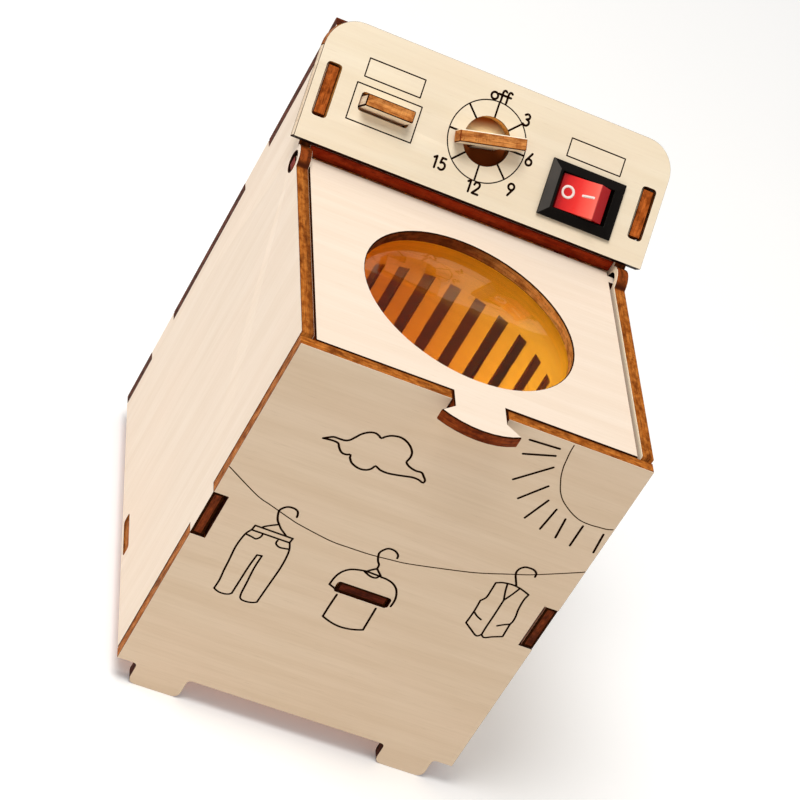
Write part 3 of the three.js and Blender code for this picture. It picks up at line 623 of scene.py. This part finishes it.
def endTree(tree, size, *parts):
    joined = tree.add("GeometryNodeJoinGeometry")
    join = joined.socket.node.inputs[0]
    for part in parts:
        tree.links.new(part.socket, join)
    whole = tree.add("GeometryNodeRealizeInstances", None, [joined])
    painted = tree.add("GeometryNodeSetMaterial", None, {"Geometry": whole, "Material": size["Finish"]})
    tree.add("NodeGroupOutput", None, [painted])
    return tree


def labelOf(key):  # the size midRadius goes to the input Mid Radius
    return "".join(" " + letter if letter.isupper() else letter for letter in key).title()


def runTree(name, tree, finish, sizes, mesh=None):
    sizes = {**{labelOf(key): size for key, size in sizes.items()}, "Finish": finishes[finish]}
    source = addPiece(name + "Source", mesh or bpy.data.meshes.new(name + "Source"))
    build = source.modifiers.new("build", "NODES")
    build.node_group = tree.group
    for item in tree.group.interface.items_tree:
        if item.item_type == "SOCKET" and item.in_out == "INPUT" and item.name in sizes:
            build[item.identifier] = sizes[item.name]
    made = evaluatedMesh(source)
    made.materials.clear()  # an empty slot may lie before the finish
    made.materials.append(finishes[finish])
    made.polygons.foreach_set("material_index", [0] * len(made.polygons))
    return made


def splineThrough(tree, size):
    curve = tree.add("GeometryNodeMeshToCurve", None, [size["Geometry"]])
    curve = tree.add("GeometryNodeCurveSplineType", {"spline_type": "CATMULL_ROM"}, {"Curve": curve})
    return tree.add("GeometryNodeResampleCurve", {"mode": "LENGTH"},
                    {"Curve": curve, "Length": size["Point Spacing"]})


def swept(tree, curve, width, height, caps=True):  # an upright bar along the curve
    curve = tree.add("GeometryNodeSetCurveNormal", {"mode": "Z_UP"}, {"Curve": curve})
    section = tree.add("GeometryNodeCurvePrimitiveQuadrilateral", None, {"Width": width, "Height": height})
    return tree.add("GeometryNodeCurveToMesh", None,
                    {"Curve": curve, "Profile Curve": section, "Fill Caps": caps})


def ring(tree, radius, points, width, height):
    circle = tree.add("GeometryNodeCurvePrimitiveCircle", None, {"Resolution": points, "Radius": radius})
    return swept(tree, circle, width, height, False)


def lifted(tree, shape, height):
    return tree.add("GeometryNodeTransform", None, {
        "Geometry": shape, "Translation": tree.add("ShaderNodeCombineXYZ", None, {"Z": height})})


def fanned(tree, shape, count, phase=0.0):  # copies turned round Z
    points = tree.add("GeometryNodeMeshLine", None, {"Count": count, "Offset": (0, 0, 0)})
    turn = tree.add("GeometryNodeInputIndex") * (2 * math.pi / count) + phase
    return tree.add("GeometryNodeInstanceOnPoints", None, {
        "Points": points, "Instance": shape,
        "Rotation": tree.add("ShaderNodeCombineXYZ", None, {"Z": turn})})


# A drawn stroke becomes a thin strip with round ends, sunk in the face
def strokeTree():
    tree, size = newTree("engravedStroke", "Line Width", "Line Depth", "Point Spacing")
    curve = splineThrough(tree, size)
    ends = tree.add("GeometryNodeCurveEndpointSelection", None, {"Start Size": 1, "End Size": 1})
    dot = tree.add("GeometryNodeMeshCylinder", None,
                   {"Vertices": 10, "Radius": size["Line Width"] / 2, "Depth": size["Line Depth"] * 0.98})
    dots = tree.add("GeometryNodeInstanceOnPoints", None,
                    {"Points": curve, "Selection": ends, "Instance": dot})
    return endTree(tree, size, swept(tree, curve, size["Line Width"], size["Line Depth"]), dots)


# A ring, and spokes from its hole to it
def dialTree():
    tree, size = newTree("dialMarks", "Ring Radius", "Hole Radius", "Ring Width", "Spoke Width",
                         "Line Depth", "Spoke Count")
    start, end = (tree.add("ShaderNodeCombineXYZ", None, {"Y": size[key]})
                  for key in ("Hole Radius", "Ring Radius"))
    line = tree.add("GeometryNodeCurvePrimitiveLine", None, {"Start": start, "End": end})
    spoke = swept(tree, line, size["Spoke Width"], size["Line Depth"])
    return endTree(tree, size, ring(tree, size["Ring Radius"], 72, size["Ring Width"], size["Line Depth"]),
                   fanned(tree, spoke, size["Spoke Count"]))


# Basket wall: two rings and the staves between them
def basketTree():
    tree, size = newTree("slottedBasket", "Mid Radius", "Wall", "Height", "Rim Height", "Foot Height",
                         "Slot Width", "Phase", "Stave Count")
    radius, foot, rim = size["Mid Radius"], size["Foot Height"], size["Rim Height"]
    length = size["Height"] - rim - foot
    gap = size["Slot Width"] / radius
    arc = tree.add("GeometryNodeCurveArc", {"mode": "RADIUS"}, {
        "Resolution": 7, "Radius": radius, "Start Angle": gap / 2,
        "Sweep Angle": 2 * math.pi / size["Stave Count"] - gap})
    stave = lifted(tree, swept(tree, arc, size["Wall"], length), foot + length / 2)
    return endTree(tree, size, lifted(tree, ring(tree, radius, 216, size["Wall"], foot), foot / 2),
                   lifted(tree, ring(tree, radius, 216, size["Wall"], rim), size["Height"] - rim / 2),
                   fanned(tree, stave, size["Stave Count"], size["Phase"]))


def tubeTree():
    tree, size = newTree("woundWire", "Radius", "Point Spacing", "Side Count")
    section = tree.add("GeometryNodeCurvePrimitiveCircle", None,
                       {"Resolution": size["Side Count"], "Radius": size["Radius"]})
    return endTree(tree, size, tree.add("GeometryNodeCurveToMesh", None, {
        "Curve": splineThrough(tree, size), "Fill Caps": True, "Profile Curve": section}))


strokes, dialMarks, slottedBasket, woundWire = strokeTree(), dialTree(), basketTree(), tubeTree()


# Drawings. A path is its points and whether it closes
def curved(*paths):
    return [(list(path), False) for path in paths]


def straight(*paths):
    return [([a, b], False) for path in paths for a, b in zip(path, path[1:])]


def roundPoints(x, y, radius, count):
    turns = [2 * math.pi * k / count for k in range(count)]
    return [(x + radius * math.cos(turn), y + radius * math.sin(turn)) for turn in turns]


def pathMesh(name, paths):
    points, edges = [], []
    for path, closed in paths:
        first = len(points)
        points += [(*p, 0) if len(p) == 2 else p for p in path]
        edges += [(first + k, first + k + 1) for k in range(len(path) - 1)]
        if closed:
            edges.append((len(points) - 1, first))
    mesh = bpy.data.meshes.new(name)
    mesh.from_pydata(points, edges, [])
    return mesh


engraving = {"lineWidth": 0.5, "lineDepth": 0.12, "pointSpacing": 0.4, "lift": 0.02,
             "finish": "engravedLine"}


def engrave(name, paths, place, body="machine", slot="board", **changes):
    look = {**engraving, **changes}
    mesh = runTree(name, strokes, look["finish"], look, pathMesh(name, paths))
    mesh.transform(place @ Matrix.Translation((0, 0, look["lift"] - look["lineDepth"] / 2)))
    return placeOnBody(addPiece(name, mesh), body, slot)


# Drawing on the front panel: clothes on a line, a cloud and the sun, in millimetres
trousers = (straight([(-33.2, 52.7), (-23.2, 52.6), (-23.4, 51.1), (-33.4, 51.1), (-33.2, 52.7)])
    + curved([(-31.4, 52.7), (-30.9, 53.4), (-28.1, 55.3)]) + straight([(-28.1, 55.3), (-27.1, 54.2),
    (-25.0, 52.7)]) + curved([(-33.8, 49.3), (-32.4, 49.1), (-31.3, 48.9), (-30.5, 49.9), (-30.4, 51.0)],
    [(-33.5, 51.0), (-34.2, 49.5), (-34.6, 47.0), (-34.7, 44.2), (-34.4, 40.2), (-34.2, 36.8),
    (-33.9, 33.4), (-34.0, 30.5)], [(-34.0, 30.5), (-32.7, 29.9), (-31.3, 29.8), (-30.1, 30.1),
    (-29.4, 30.7)], [(-29.4, 30.7), (-29.3, 35.8), (-29.2, 40.4), (-28.9, 44.4)])
    + straight([(-28.9, 44.4), (-27.7, 44.6)]) + curved([(-27.7, 44.6), (-27.8, 40.3), (-27.5, 35.5),
    (-27.3, 31.9), (-27.0, 30.4)], [(-27.0, 30.4), (-26.4, 29.8), (-25.1, 29.7), (-23.6, 30.0),
    (-22.6, 30.6)], [(-22.6, 30.6), (-22.4, 34.8), (-22.2, 38.6), (-22.0, 42.7), (-22.1, 46.4),
    (-22.5, 49.1), (-23.3, 51.0)], [(-26.3, 50.6), (-26.3, 49.6), (-25.6, 49.0), (-24.6, 48.8),
    (-22.6, 49.2)]))

shirt = (curved([(-2.4, 50.5), (-1.7, 51.3), (-0.5, 52.3)], [(-0.5, 52.3), (0.6, 51.3), (1.7, 50.2)])
    + straight([(-2.3, 50.5), (1.3, 50.4)]) + curved([(-3.1, 50.4), (-1.9, 49.8), (-0.7, 49.4),
    (0.5, 49.5), (1.1, 50.3)], [(-2.6, 50.5), (-4.6, 50.1), (-6.2, 49.5), (-7.5, 48.4), (-8.4, 46.8),
    (-8.8, 44.8), (-8.9, 43.1)]) + straight([(-8.9, 43.1), (-6.9, 42.3)]) + curved([(1.6, 50.3),
    (3.2, 50.2), (4.9, 49.7), (6.4, 48.6), (7.3, 47.2), (7.9, 45.4), (8.0, 43.8), (7.9, 42.7)],
    [(-5.8, 40.8), (-5.9, 37.0), (-5.9, 33.0)], [(-5.9, 33.0), (-4.1, 32.3), (-2.3, 31.8), (-0.3, 31.6),
    (2.1, 31.9), (4.0, 32.5), (5.1, 33.0)], [(5.1, 33.0), (5.0, 36.5), (4.9, 40.6)]))

waistcoat = curved([(28.0, 60.1), (29.4, 60.8), (30.9, 61.1), (32.4, 61.2), (34.3, 60.9), (35.9, 60.4),
    (37.2, 59.9)], [(28.0, 60.1), (28.1, 57.4), (28.1, 55.1), (27.6, 54.0), (27.2, 53.5)], [(27.2, 53.5),
    (27.4, 49.6), (27.3, 45.5)], [(27.3, 45.5), (29.3, 44.1), (31.2, 42.8), (32.0, 42.8), (32.6, 43.6)],
    [(32.4, 55.9), (32.5, 50.8), (32.5, 46.6), (32.6, 43.6)], [(32.6, 43.6), (33.6, 42.9), (35.3, 43.9),
    (37.7, 45.1)], [(37.2, 59.9), (36.9, 58.0), (37.0, 55.7), (37.2, 54.1), (37.6, 52.2), (37.7, 50.4),
    (37.5, 49.5), (37.6, 47.1), (37.7, 45.1)], [(34.8, 47.7), (36.0, 48.6), (37.5, 49.5)], [(27.4, 49.6),
    (28.7, 48.6), (30.2, 47.9)], [(30.8, 60.9), (31.5, 58.4), (32.4, 55.9)], [(34.3, 60.9), (33.4, 58.3),
    (32.4, 55.9)])

hooks = curved([(-25.2, 59.1), (-25.4, 60.1), (-25.9, 60.9), (-27.0, 61.3), (-28.5, 61.1), (-29.4, 60.3),
    (-29.9, 59.3), (-29.6, 57.8), (-29.0, 56.4), (-28.1, 55.3)], [(2.5, 57.3), (2.3, 58.2), (1.4, 59.0),
    (0.4, 59.3), (-0.8, 59.2), (-1.7, 58.3), (-2.2, 57.1), (-1.9, 55.8), (-1.3, 54.5), (-0.6, 53.6),
    (-0.5, 52.3)], [(35.9, 65.7), (35.7, 66.8), (34.6, 67.6), (33.2, 67.7), (32.2, 67.5), (31.3, 66.6),
    (31.0, 65.4), (31.3, 64.3), (32.1, 62.9), (33.0, 61.4)])

cloud = curved([(-29.9, 83.5), (-27.9, 84.8), (-26.4, 84.9), (-24.9, 85.0), (-23.9, 85.6), (-23.1, 86.8),
    (-22.1, 88.4), (-20.6, 89.6), (-19.2, 89.9), (-18.1, 89.5)], [(-18.1, 89.5), (-17.4, 89.1),
    (-16.6, 90.0), (-15.4, 90.8), (-13.5, 91.2), (-11.8, 90.8), (-10.2, 89.8), (-9.0, 88.4), (-8.6, 87.0),
    (-8.7, 85.8)], [(-8.7, 85.8), (-8.8, 85.1), (-8.1, 84.4), (-7.0, 83.9), (-5.5, 83.6), (-4.1, 83.7),
    (-3.2, 82.9), (-2.3, 81.9), (-2.4, 81.0), (-3.7, 81.4), (-5.3, 81.5), (-7.5, 81.0), (-9.6, 80.5),
    (-11.5, 80.2), (-13.2, 80.3), (-14.2, 80.7)], [(-14.2, 80.7), (-15.0, 81.0), (-15.4, 80.0),
    (-16.3, 79.1), (-17.7, 78.7), (-19.1, 78.9), (-20.6, 79.6), (-21.6, 80.8)], [(-21.6, 80.8),
    (-21.9, 81.7), (-22.7, 81.3), (-23.8, 81.3), (-24.7, 81.9), (-25.5, 82.9)], [(-25.5, 82.9),
    (-26.0, 83.6), (-27.2, 83.8), (-28.5, 83.7), (-29.9, 83.5)])

washingLine = curved([(-46.3, 66.6), (-45.5, 66.2), (-36.8, 61.4), (-32.7, 60.0), (-29.6, 59.0),
    (-26.5, 58.0), (-23.5, 57.2), (-14.8, 55.7), (-9.4, 55.6), (-4.1, 55.7), (1.1, 56.2), (6.1, 56.9),
    (17.1, 59.6), (23.0, 61.3), (29.9, 64.0), (34.4, 65.8), (39.9, 68.6), (45.3, 71.5), (46.3, 72.1)])

sun = curved([(25.1, 105.9), (25.2, 103.8), (25.5, 101.6), (25.9, 99.1), (26.7, 96.4), (27.7, 94.2),
    (28.9, 92.0), (30.7, 89.9), (33.0, 88.2), (35.3, 86.9), (37.6, 86.1), (40.2, 85.9), (42.9, 86.1),
    (44.7, 86.3), (46.1, 86.8)])

sunRays = straight([(14.7, 103.1), (22.5, 103.6)], [(15.2, 98.7), (22.6, 101.3)], [(16.7, 90.8),
    (23.8, 98.0)], [(20.5, 86.1), (25.4, 92.4)], [(24.8, 81.4), (27.5, 88.5)], [(29.8, 79.8),
    (30.6, 86.8)], [(34.5, 78.9), (34.0, 85.0)], [(38.9, 78.1), (38.9, 84.8)], [(45.2, 78.5),
    (44.7, 84.5)])

drawings = {  # strokes, their width and finish
    "Trousers": (trousers, 0.5, "engravedLine"), "Shirt": (shirt, 0.56, "engravedLine"),
    "Waistcoat": (waistcoat, 0.5, "engravedLine"), "Hooks": (hooks, 0.56, "engravedLine"),
    "Cloud": (cloud, 0.56, "engravedLine"), "SunRays": (sunRays, 0.58, "engravedLine"),
    "WashingLine": (washingLine, 0.3, "fineEngravedLine"), "Sun": (sun, 0.3, "fineEngravedLine"),
}
for name, (paths, width, finish) in drawings.items():
    engrave("engraved" + name, paths, frontPlace, lineWidth=width, finish=finish)
print("front panel engraved")


# Marks on the console: label boxes, dial ring and spokes, and the dial's figures
def frameBox(x0, y0, x1, y1):
    return straight([(x0, y0), (x1, y0), (x1, y1), (x0, y1), (x0, y0)])


engrave("engravedLabelBoxes", frameBox(-36.8, 20.4, -21.3, 25.2) + frameBox(-38.0, 8.8, -20.0, 18.4)
        + frameBox(20.5, 20.6, 36.0, 25.4), consolePlace, lineWidth=0.34)

# Single-stroke figures, one unit high, each with its advance
figures = {
    "1": (0.53, curved([(0.0, 0.84), (0.22, 1.0)], [(0.22, 1.0), (0.22, 0.0)])),
    "2": (0.62, curved([(0.03, 0.74), (0.1, 0.93), (0.3, 1.0), (0.5, 0.88), (0.5, 0.66), (0.34, 0.4),
                        (0.02, 0.0)], [(0.02, 0.0), (0.56, 0.0)])),
    "3": (0.6, curved([(0.05, 0.88), (0.26, 1.0), (0.47, 0.88), (0.46, 0.66), (0.24, 0.55)],
                      [(0.24, 0.55), (0.47, 0.46), (0.54, 0.26), (0.42, 0.06), (0.22, 0.0), (0.03, 0.1)])),
    "5": (0.6, straight([(0.48, 1.0), (0.14, 1.0), (0.08, 0.56)]) + curved(
        [(0.08, 0.56), (0.28, 0.64), (0.48, 0.54), (0.55, 0.33), (0.46, 0.1), (0.26, 0.0), (0.03, 0.08)])),
    "6": (0.64, [(roundPoints(0.31, 0.27, 0.27, 16), True), ([(0.08, 0.4), (0.44, 1.06)], False)]),
    "o": (0.7, [(roundPoints(0.33, 0.31, 0.3, 16), True)]),
    "f": (0.48, curved([(0.56, 0.94), (0.44, 1.02), (0.3, 0.96), (0.24, 0.78), (0.24, 0.5), (0.24, 0.0)],
                       [(-0.08, 0.58), (0.52, 0.58)])),
}
figures["9"] = (0.64, [([(0.62 - x, 1.0 - y) for x, y in path], closed) for path, closed in figures["6"][1]])
labels = {"height": 3.0, "space": 0.04, "places": {
    "off": (-1.2, 28.7), "3": (7.4, 25.3), "6": (11.3, 16.0), "9": (9.0, 7.1), "12": (-0.58, 4.2),
    "15": (-11.1, 6.8)}}


def wordPaths(word, x, y, height):
    width = sum(figures[c][0] for c in word) + labels["space"] * (len(word) - 1)
    pen, paths = x - width * height / 2, []
    for character in word:
        advance, drawn = figures[character]
        paths += [([(pen + px * height, y + (py - 0.5) * height) for px, py in path], closed)
                  for path, closed in drawn]
        pen += (advance + labels["space"]) * height
    return paths


words = sum([wordPaths(word, x, y, labels["height"]) for word, (x, y) in labels["places"].items()], [])
engrave("engravedFigures", words, consolePlace, lineWidth=0.6, pointSpacing=0.2)

ringMesh = runTree("engravedDial", dialMarks, "engravedLine", {**engraving, **dial})
ringMesh.transform(consolePlace @ Matrix.Translation(
    (dial["x"], dial["u"], engraving["lift"] - engraving["lineDepth"] / 2)))
placeOnBody(addPiece("engravedDial", ringMesh), "machine", "board")
print("console engraved")


basket = {"midRadius": 32.5, "wall": 1.0, "height": 49.0, "rimHeight": 10.5, "footHeight": 6.0,
          "slotWidth": 3.3, "staveCount": 27, "phase": math.radians(64.1)}


def dressBasket():
    mesh = runTree("basketWall", slottedBasket, "basketWood", basket)
    mesh.transform(Matrix.Translation(basketPoint) @ Matrix.Scale(mm, 4))
    mesh.materials.append(finishes["laserEdge"])  # on the cut faces of the slots and rims
    values = []
    for vertex in mesh.vertices:
        x, y, z = vertex.co - basketPoint
        depth = (math.hypot(x, y) / mm - basket["midRadius"]) / basket["wall"]
        values += [math.atan2(y, x) * basket["midRadius"] * mm, z, 0.5 - depth]
    writePlan(mesh, values)
    for polygon in mesh.polygons:
        outward = polygon.center - basketPoint
        outward.z = 0
        polygon.material_index = 0 if abs(polygon.normal.dot(outward.normalized())) > 0.5 else 1
    smoothRounds(mesh)
    return placeOnBody(addPiece("basketWall", mesh), "drum", "basket_wood", "basket_wall")


dressBasket()
print("basket built")


# The rocker's place: across and up the console, over its pivot. The crest at one end lies further
# out than in the plain part, where the bezel hides what is beyond it. tones are colours at places
# tones paint the light: darker towards the ends and on the end facet, a painted highlight near the crest
rocker = {"x": 27.8, "u": 11.4, "pivot": -1.2, "tilt": math.radians(18), "crest": 4.5, "crestX": 4.4,
          "hollow": 0.6, "leftStretch": 1.27, "reach": 7.0, "tones": [
              (-7.0, (140, 8, 14)), (-5.4, (158, 12, 16)), (-4.0, (208, 26, 28)), (-0.6, (236, 44, 38)),
              (3.2, (250, 96, 80)), (4.3, (254, 112, 98)), (4.7, (178, 12, 20)), (7.0, (166, 10, 18))]}
rockerPlace = consolePlace @ Matrix.Translation((rocker["x"], rocker["u"], rocker["pivot"])) \
    @ Matrix.Rotation(-rocker["tilt"], 4, "Y")
rockerWay = (rockerPlace.to_3x3() @ Vector((1, 0, 0))).normalized()
rockerMiddle = rockerPlace.translation.dot(rockerWay)
moulded("redRocker", [((x / rocker["reach"] + 1) / 2, tone(*colour)) for x, colour in rocker["tones"]],
        0.34, 0.25, 0.0, 0.08, 1200, {"out": rockerWay, "from": rockerMiddle - rocker["reach"] * mm,
                                      "to": rockerMiddle + rocker["reach"] * mm})


def stretchRocker(mesh):
    mesh.transform(rockerPlace.inverted())
    for vertex in mesh.vertices:
        if vertex.co.x < 0 and vertex.co.z > rocker["crest"] - rocker["hollow"] - 0.1:
            vertex.co.x *= rocker["leftStretch"]
    mesh.transform(rockerPlace)


# Pieces that keep their CAD shape with softened corners: finish, slot, body, the corners' width in
# millimetres and their segments, nodes
mouldings = [
    ("amberSheet", "amber_sheet", "lid", 0.15, 2, "lid_window"),
    ("blackPlastic", "black_plastic", "machine", 0.16, 2, "switch_housing"),
    ("redRocker", "red_plastic", "rocker", 0.28, 3, "switch_rocker"),
    ("whitePlastic", "white_plastic", "drum", 0.2, 2, "drive_hub"),
    ("motorSteel", "steel", "drum", 0.12, 2, "motor_shaft"),
    ("motorSteel", "steel", "machine", 0.5, 3, "motor_can"),
    ("whitePlastic", "white_plastic", "machine", 0.5, 3, "motor_end_cap"),
    ("brassBlade", "brass", "machine", 0.08, 1, "motor_terminal_left", "motor_terminal_right"),
    ("brassBlade", "brass", "machine", 0.12, 1, "switch_blade_left", "switch_blade_right"),
    ("blackPlastic", "black_plastic", "machine", 0.25, 2, "battery_holder"),
    ("motorSteel", "steel", "machine", 0.08, 1, "battery_contact_lower_left",
     "battery_contact_lower_right", "battery_contact_upper_left", "battery_contact_upper_right"),
]


def dressMoulding(node, finish, slot, body, width, segments):
    name = pieceName(node.replace("battery_contact", "contact"))
    mesh = mergedCopy(node)
    if node == "switch_rocker":
        stretchRocker(mesh)
    mesh.materials.append(finishes[finish])
    mesh = softenEdges(name + "Bevel", mesh, width * mm, -1, segments)
    smoothRounds(mesh, 50)
    mesh = keepFlats(name + "Flats", mesh)
    if node == "switch_housing":  # painted light: the bezel's left slope is a lighter grey
        mesh.materials.append(finishes["litBlackPlastic"])
        for polygon in mesh.polygons:
            lit = polygon.normal.x < -0.3 and polygon.normal.dot(consoleOut) > 0.5
            polygon.material_index = 1 if lit else 0
    return placeOnBody(addPiece(name, mesh), body, slot, node)


for finish, slot, body, width, segments, *nodes in mouldings:
    for node in nodes:
        dressMoulding(node, finish, slot, body, width, segments)
print("mouldings dressed")

# Cells: a sleeve with a collar at the positive end, and bare metal ends
cells = {"ends": {"lower": 1, "upper": -1}, "collar": 13.5 * mm, "corner": 0.4 * mm, "metal": 0.84}


def dressCell(key, end):
    node = "battery_" + key
    low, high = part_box(node)
    mesh = softenEdges(node + "Bevel", mergedCopy(node), cells["corner"], -1, 2)
    for finish in ("cellSleeve", "cellCollar", "motorSteel"):
        mesh.materials.append(finishes[finish])
    cutX = (high.x if end > 0 else low.x) - end * cells["collar"]
    shape = bmesh.new()
    shape.from_mesh(mesh)
    bmesh.ops.bisect_plane(shape, geom=shape.verts[:] + shape.edges[:] + shape.faces[:],
                           plane_co=(cutX, 0, 0), plane_no=(1, 0, 0))
    shape.to_mesh(mesh)
    shape.free()
    middle = (low + high) / 2
    for polygon in mesh.polygons:
        away = math.hypot(polygon.center.y - middle.y, polygon.center.z - middle.z)
        collar = (polygon.center.x - cutX) * end > 0
        metal = away < (high.z - middle.z) * cells["metal"]
        polygon.material_index = 2 if metal else int(collar)
    smoothRounds(mesh, 40)
    return placeOnBody(addPiece("cell" + key.capitalize(), mesh), "machine", "cell_sleeve", node)


for key, end in cells["ends"].items():
    dressCell(key, end)

for node, finish, slot in (("wire_battery_switch", "redWireSleeve", "red_sleeve"),
                           ("wire_switch_motor", "redWireSleeve", "red_sleeve"),
                           ("wire_battery_motor", "blackWireSleeve", "black_sleeve")):
    mesh = mergedCopy(node)
    smoothRounds(mesh, 60)
    placeOnBody(addPiece(pieceName(node), mesh, finish), "machine", slot, node)

# Contact springs at each cell's flat end
springs = {"turns": 2.5, "outer": 3.4, "inner": 1.4, "rise": 0.62, "seat": 0.66, "steps": 60,
           "radius": 0.16, "pointSpacing": 0.35, "sideCount": 8}


def buildSpring(name, node, end):
    low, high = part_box(node)
    path = []
    for k in range(springs["steps"] + 1):
        share = k / springs["steps"]
        radius = springs["outer"] + (springs["inner"] - springs["outer"]) * share
        angle = 2 * math.pi * springs["turns"] * share
        path.append((radius * math.cos(angle), radius * math.sin(angle), springs["rise"] * share))
    mesh = runTree(name, woundWire, "motorSteel", springs, pathMesh(name, curved(path)))
    base = (low + high) / 2
    base.x = (low.x if end < 0 else high.x) + end * springs["seat"] * mm
    turn = Matrix.Rotation(math.radians(-90 * end), 4, "Y")
    mesh.transform(Matrix.Translation(base) @ turn @ Matrix.Scale(mm, 4))
    smoothRounds(mesh, 60)
    return placeOnBody(addPiece(name, mesh), "machine", "steel")


for key, end in cells["ends"].items():
    buildSpring("spring" + key.capitalize(), "battery_" + key, -end)
print("cells, wires and springs dressed")

# White marks on the rocker, printed on its slightly hollow top
marks = {"ringX": -3.4, "ringY": 0.21, "ringRadius": 1.45, "ringPoints": 24,
         "barX": 1.99, "barY": 0.66, "barHalf": 1.4, "barRise": 0.15}
markLook = {"lineWidth": 0.66, "lineDepth": 0.3, "pointSpacing": 0.25, "lift": 0.05,
            "finish": "whitePrint"}


def onRocker(x, y):
    half = rocker["crestX"] * (rocker["leftStretch"] if x < 0 else 1)
    return x, y, rocker["crest"] - rocker["hollow"] * (1 - (x / half) ** 2)


ringPath = [onRocker(x, y) for x, y in roundPoints(
    marks["ringX"], marks["ringY"], marks["ringRadius"], marks["ringPoints"])]
barPath = [onRocker(marks["barX"] + marks["barHalf"] * share, marks["barY"] + marks["barRise"] * share)
           for share in (-1, -0.5, 0, 0.5, 1)]
engrave("rockerRingMark", [(ringPath, True)], rockerPlace, "rocker", "white_plastic", **markLook)
engrave("rockerBarMark", curved(barPath), rockerPlace, "rocker", "white_plastic", **markLook)


# Studio: pale floor, soft lights and the camera
studio = {"floorSize": 6.0, "floorTone": tone(252, 251, 250), "floorShade": tone(251, 250, 248),
          "floorGlow": 0.13, "worldTone": (1, 0.995, 0.985, 1), "worldStrength": 0.52,
          "flagFrom": (0.304, 0.789, 0.534), "flagInner": 0.96, "flagOuter": 0.88, "flagStrength": 0.12}
lamp = {"from": (-0.375, -0.125, 1.19), "aim": (0, 0, 0.07), "size": 0.6, "power": 10.0,
        "colour": (1.0, 0.995, 0.985)}
camera = {"place": (-0.239016, -0.620194, 0.495017), "lens": 140.2, "sensor": 36.0,
          "across": (0.895092, -0.044775, 0.443627), "down": (0.325947, -0.613203, -0.719542),
          "forward": (0.304251, 0.788656, -0.534279)}


def buildFloor():
    mesh, half = bpy.data.meshes.new("floor"), studio["floorSize"] / 2
    mesh.from_pydata([(-half, -half, 0), (half, -half, 0), (half, half, 0), (-half, half, 0)],
                     [], [(0, 1, 2, 3)])
    t = newFinish("paleFloor")
    base = t.mix(t.between(t.noise(t.place(), 3.0), 0.3, 0.7), studio["floorTone"], studio["floorShade"])
    endFinish(t, base, 0.9, None, 0.1, {"Emission Color": studio["floorTone"],
                                        "Emission Strength": studio["floorGlow"]})
    addPiece("floor", mesh, "paleFloor")


def buildWorld():
    world = bpy.data.worlds.new("softRoom")
    world.use_nodes = True
    world.node_tree.nodes.clear()
    room = Tree(world.node_tree)
    way = room.add("ShaderNodeTexCoord")  # a dark flag behind the machine keeps its window clear
    strength = room.between(room.along(way, studio["flagFrom"]), studio["flagOuter"], studio["flagInner"],
                            studio["worldStrength"], studio["flagStrength"])
    glow = room.add("ShaderNodeBackground", None, {"Color": studio["worldTone"], "Strength": strength})
    room.add("ShaderNodeOutputWorld", None, {"Surface": glow})
    bpy.context.scene.world = world
    bpy.context.scene.view_settings.view_transform = "Standard"


def buildLamp():
    data = bpy.data.lights.new("keyLight", "AREA")
    data.shape, data.size, data.energy, data.color = "DISK", lamp["size"], lamp["power"], lamp["colour"]
    piece = addPiece("keyLight", data)
    piece.location = lamp["from"]
    aim = Vector(lamp["aim"]) - Vector(lamp["from"])
    piece.rotation_euler = aim.to_track_quat("-Z", "Y").to_euler()


def buildCamera():
    data = bpy.data.cameras.new("photoCamera")
    data.sensor_width, data.lens = camera["sensor"], camera["lens"]
    data.clip_start, data.clip_end = 0.01, 50
    view = addPiece("photoCamera", data)
    turn = Matrix((Vector(camera["across"]), -Vector(camera["down"]),
                   -Vector(camera["forward"]))).transposed().to_4x4()
    view.matrix_world = Matrix.Translation(camera["place"]) @ turn
    bpy.context.scene.camera = view


buildFloor()
buildWorld()
buildLamp()
buildCamera()
print("studio ready")
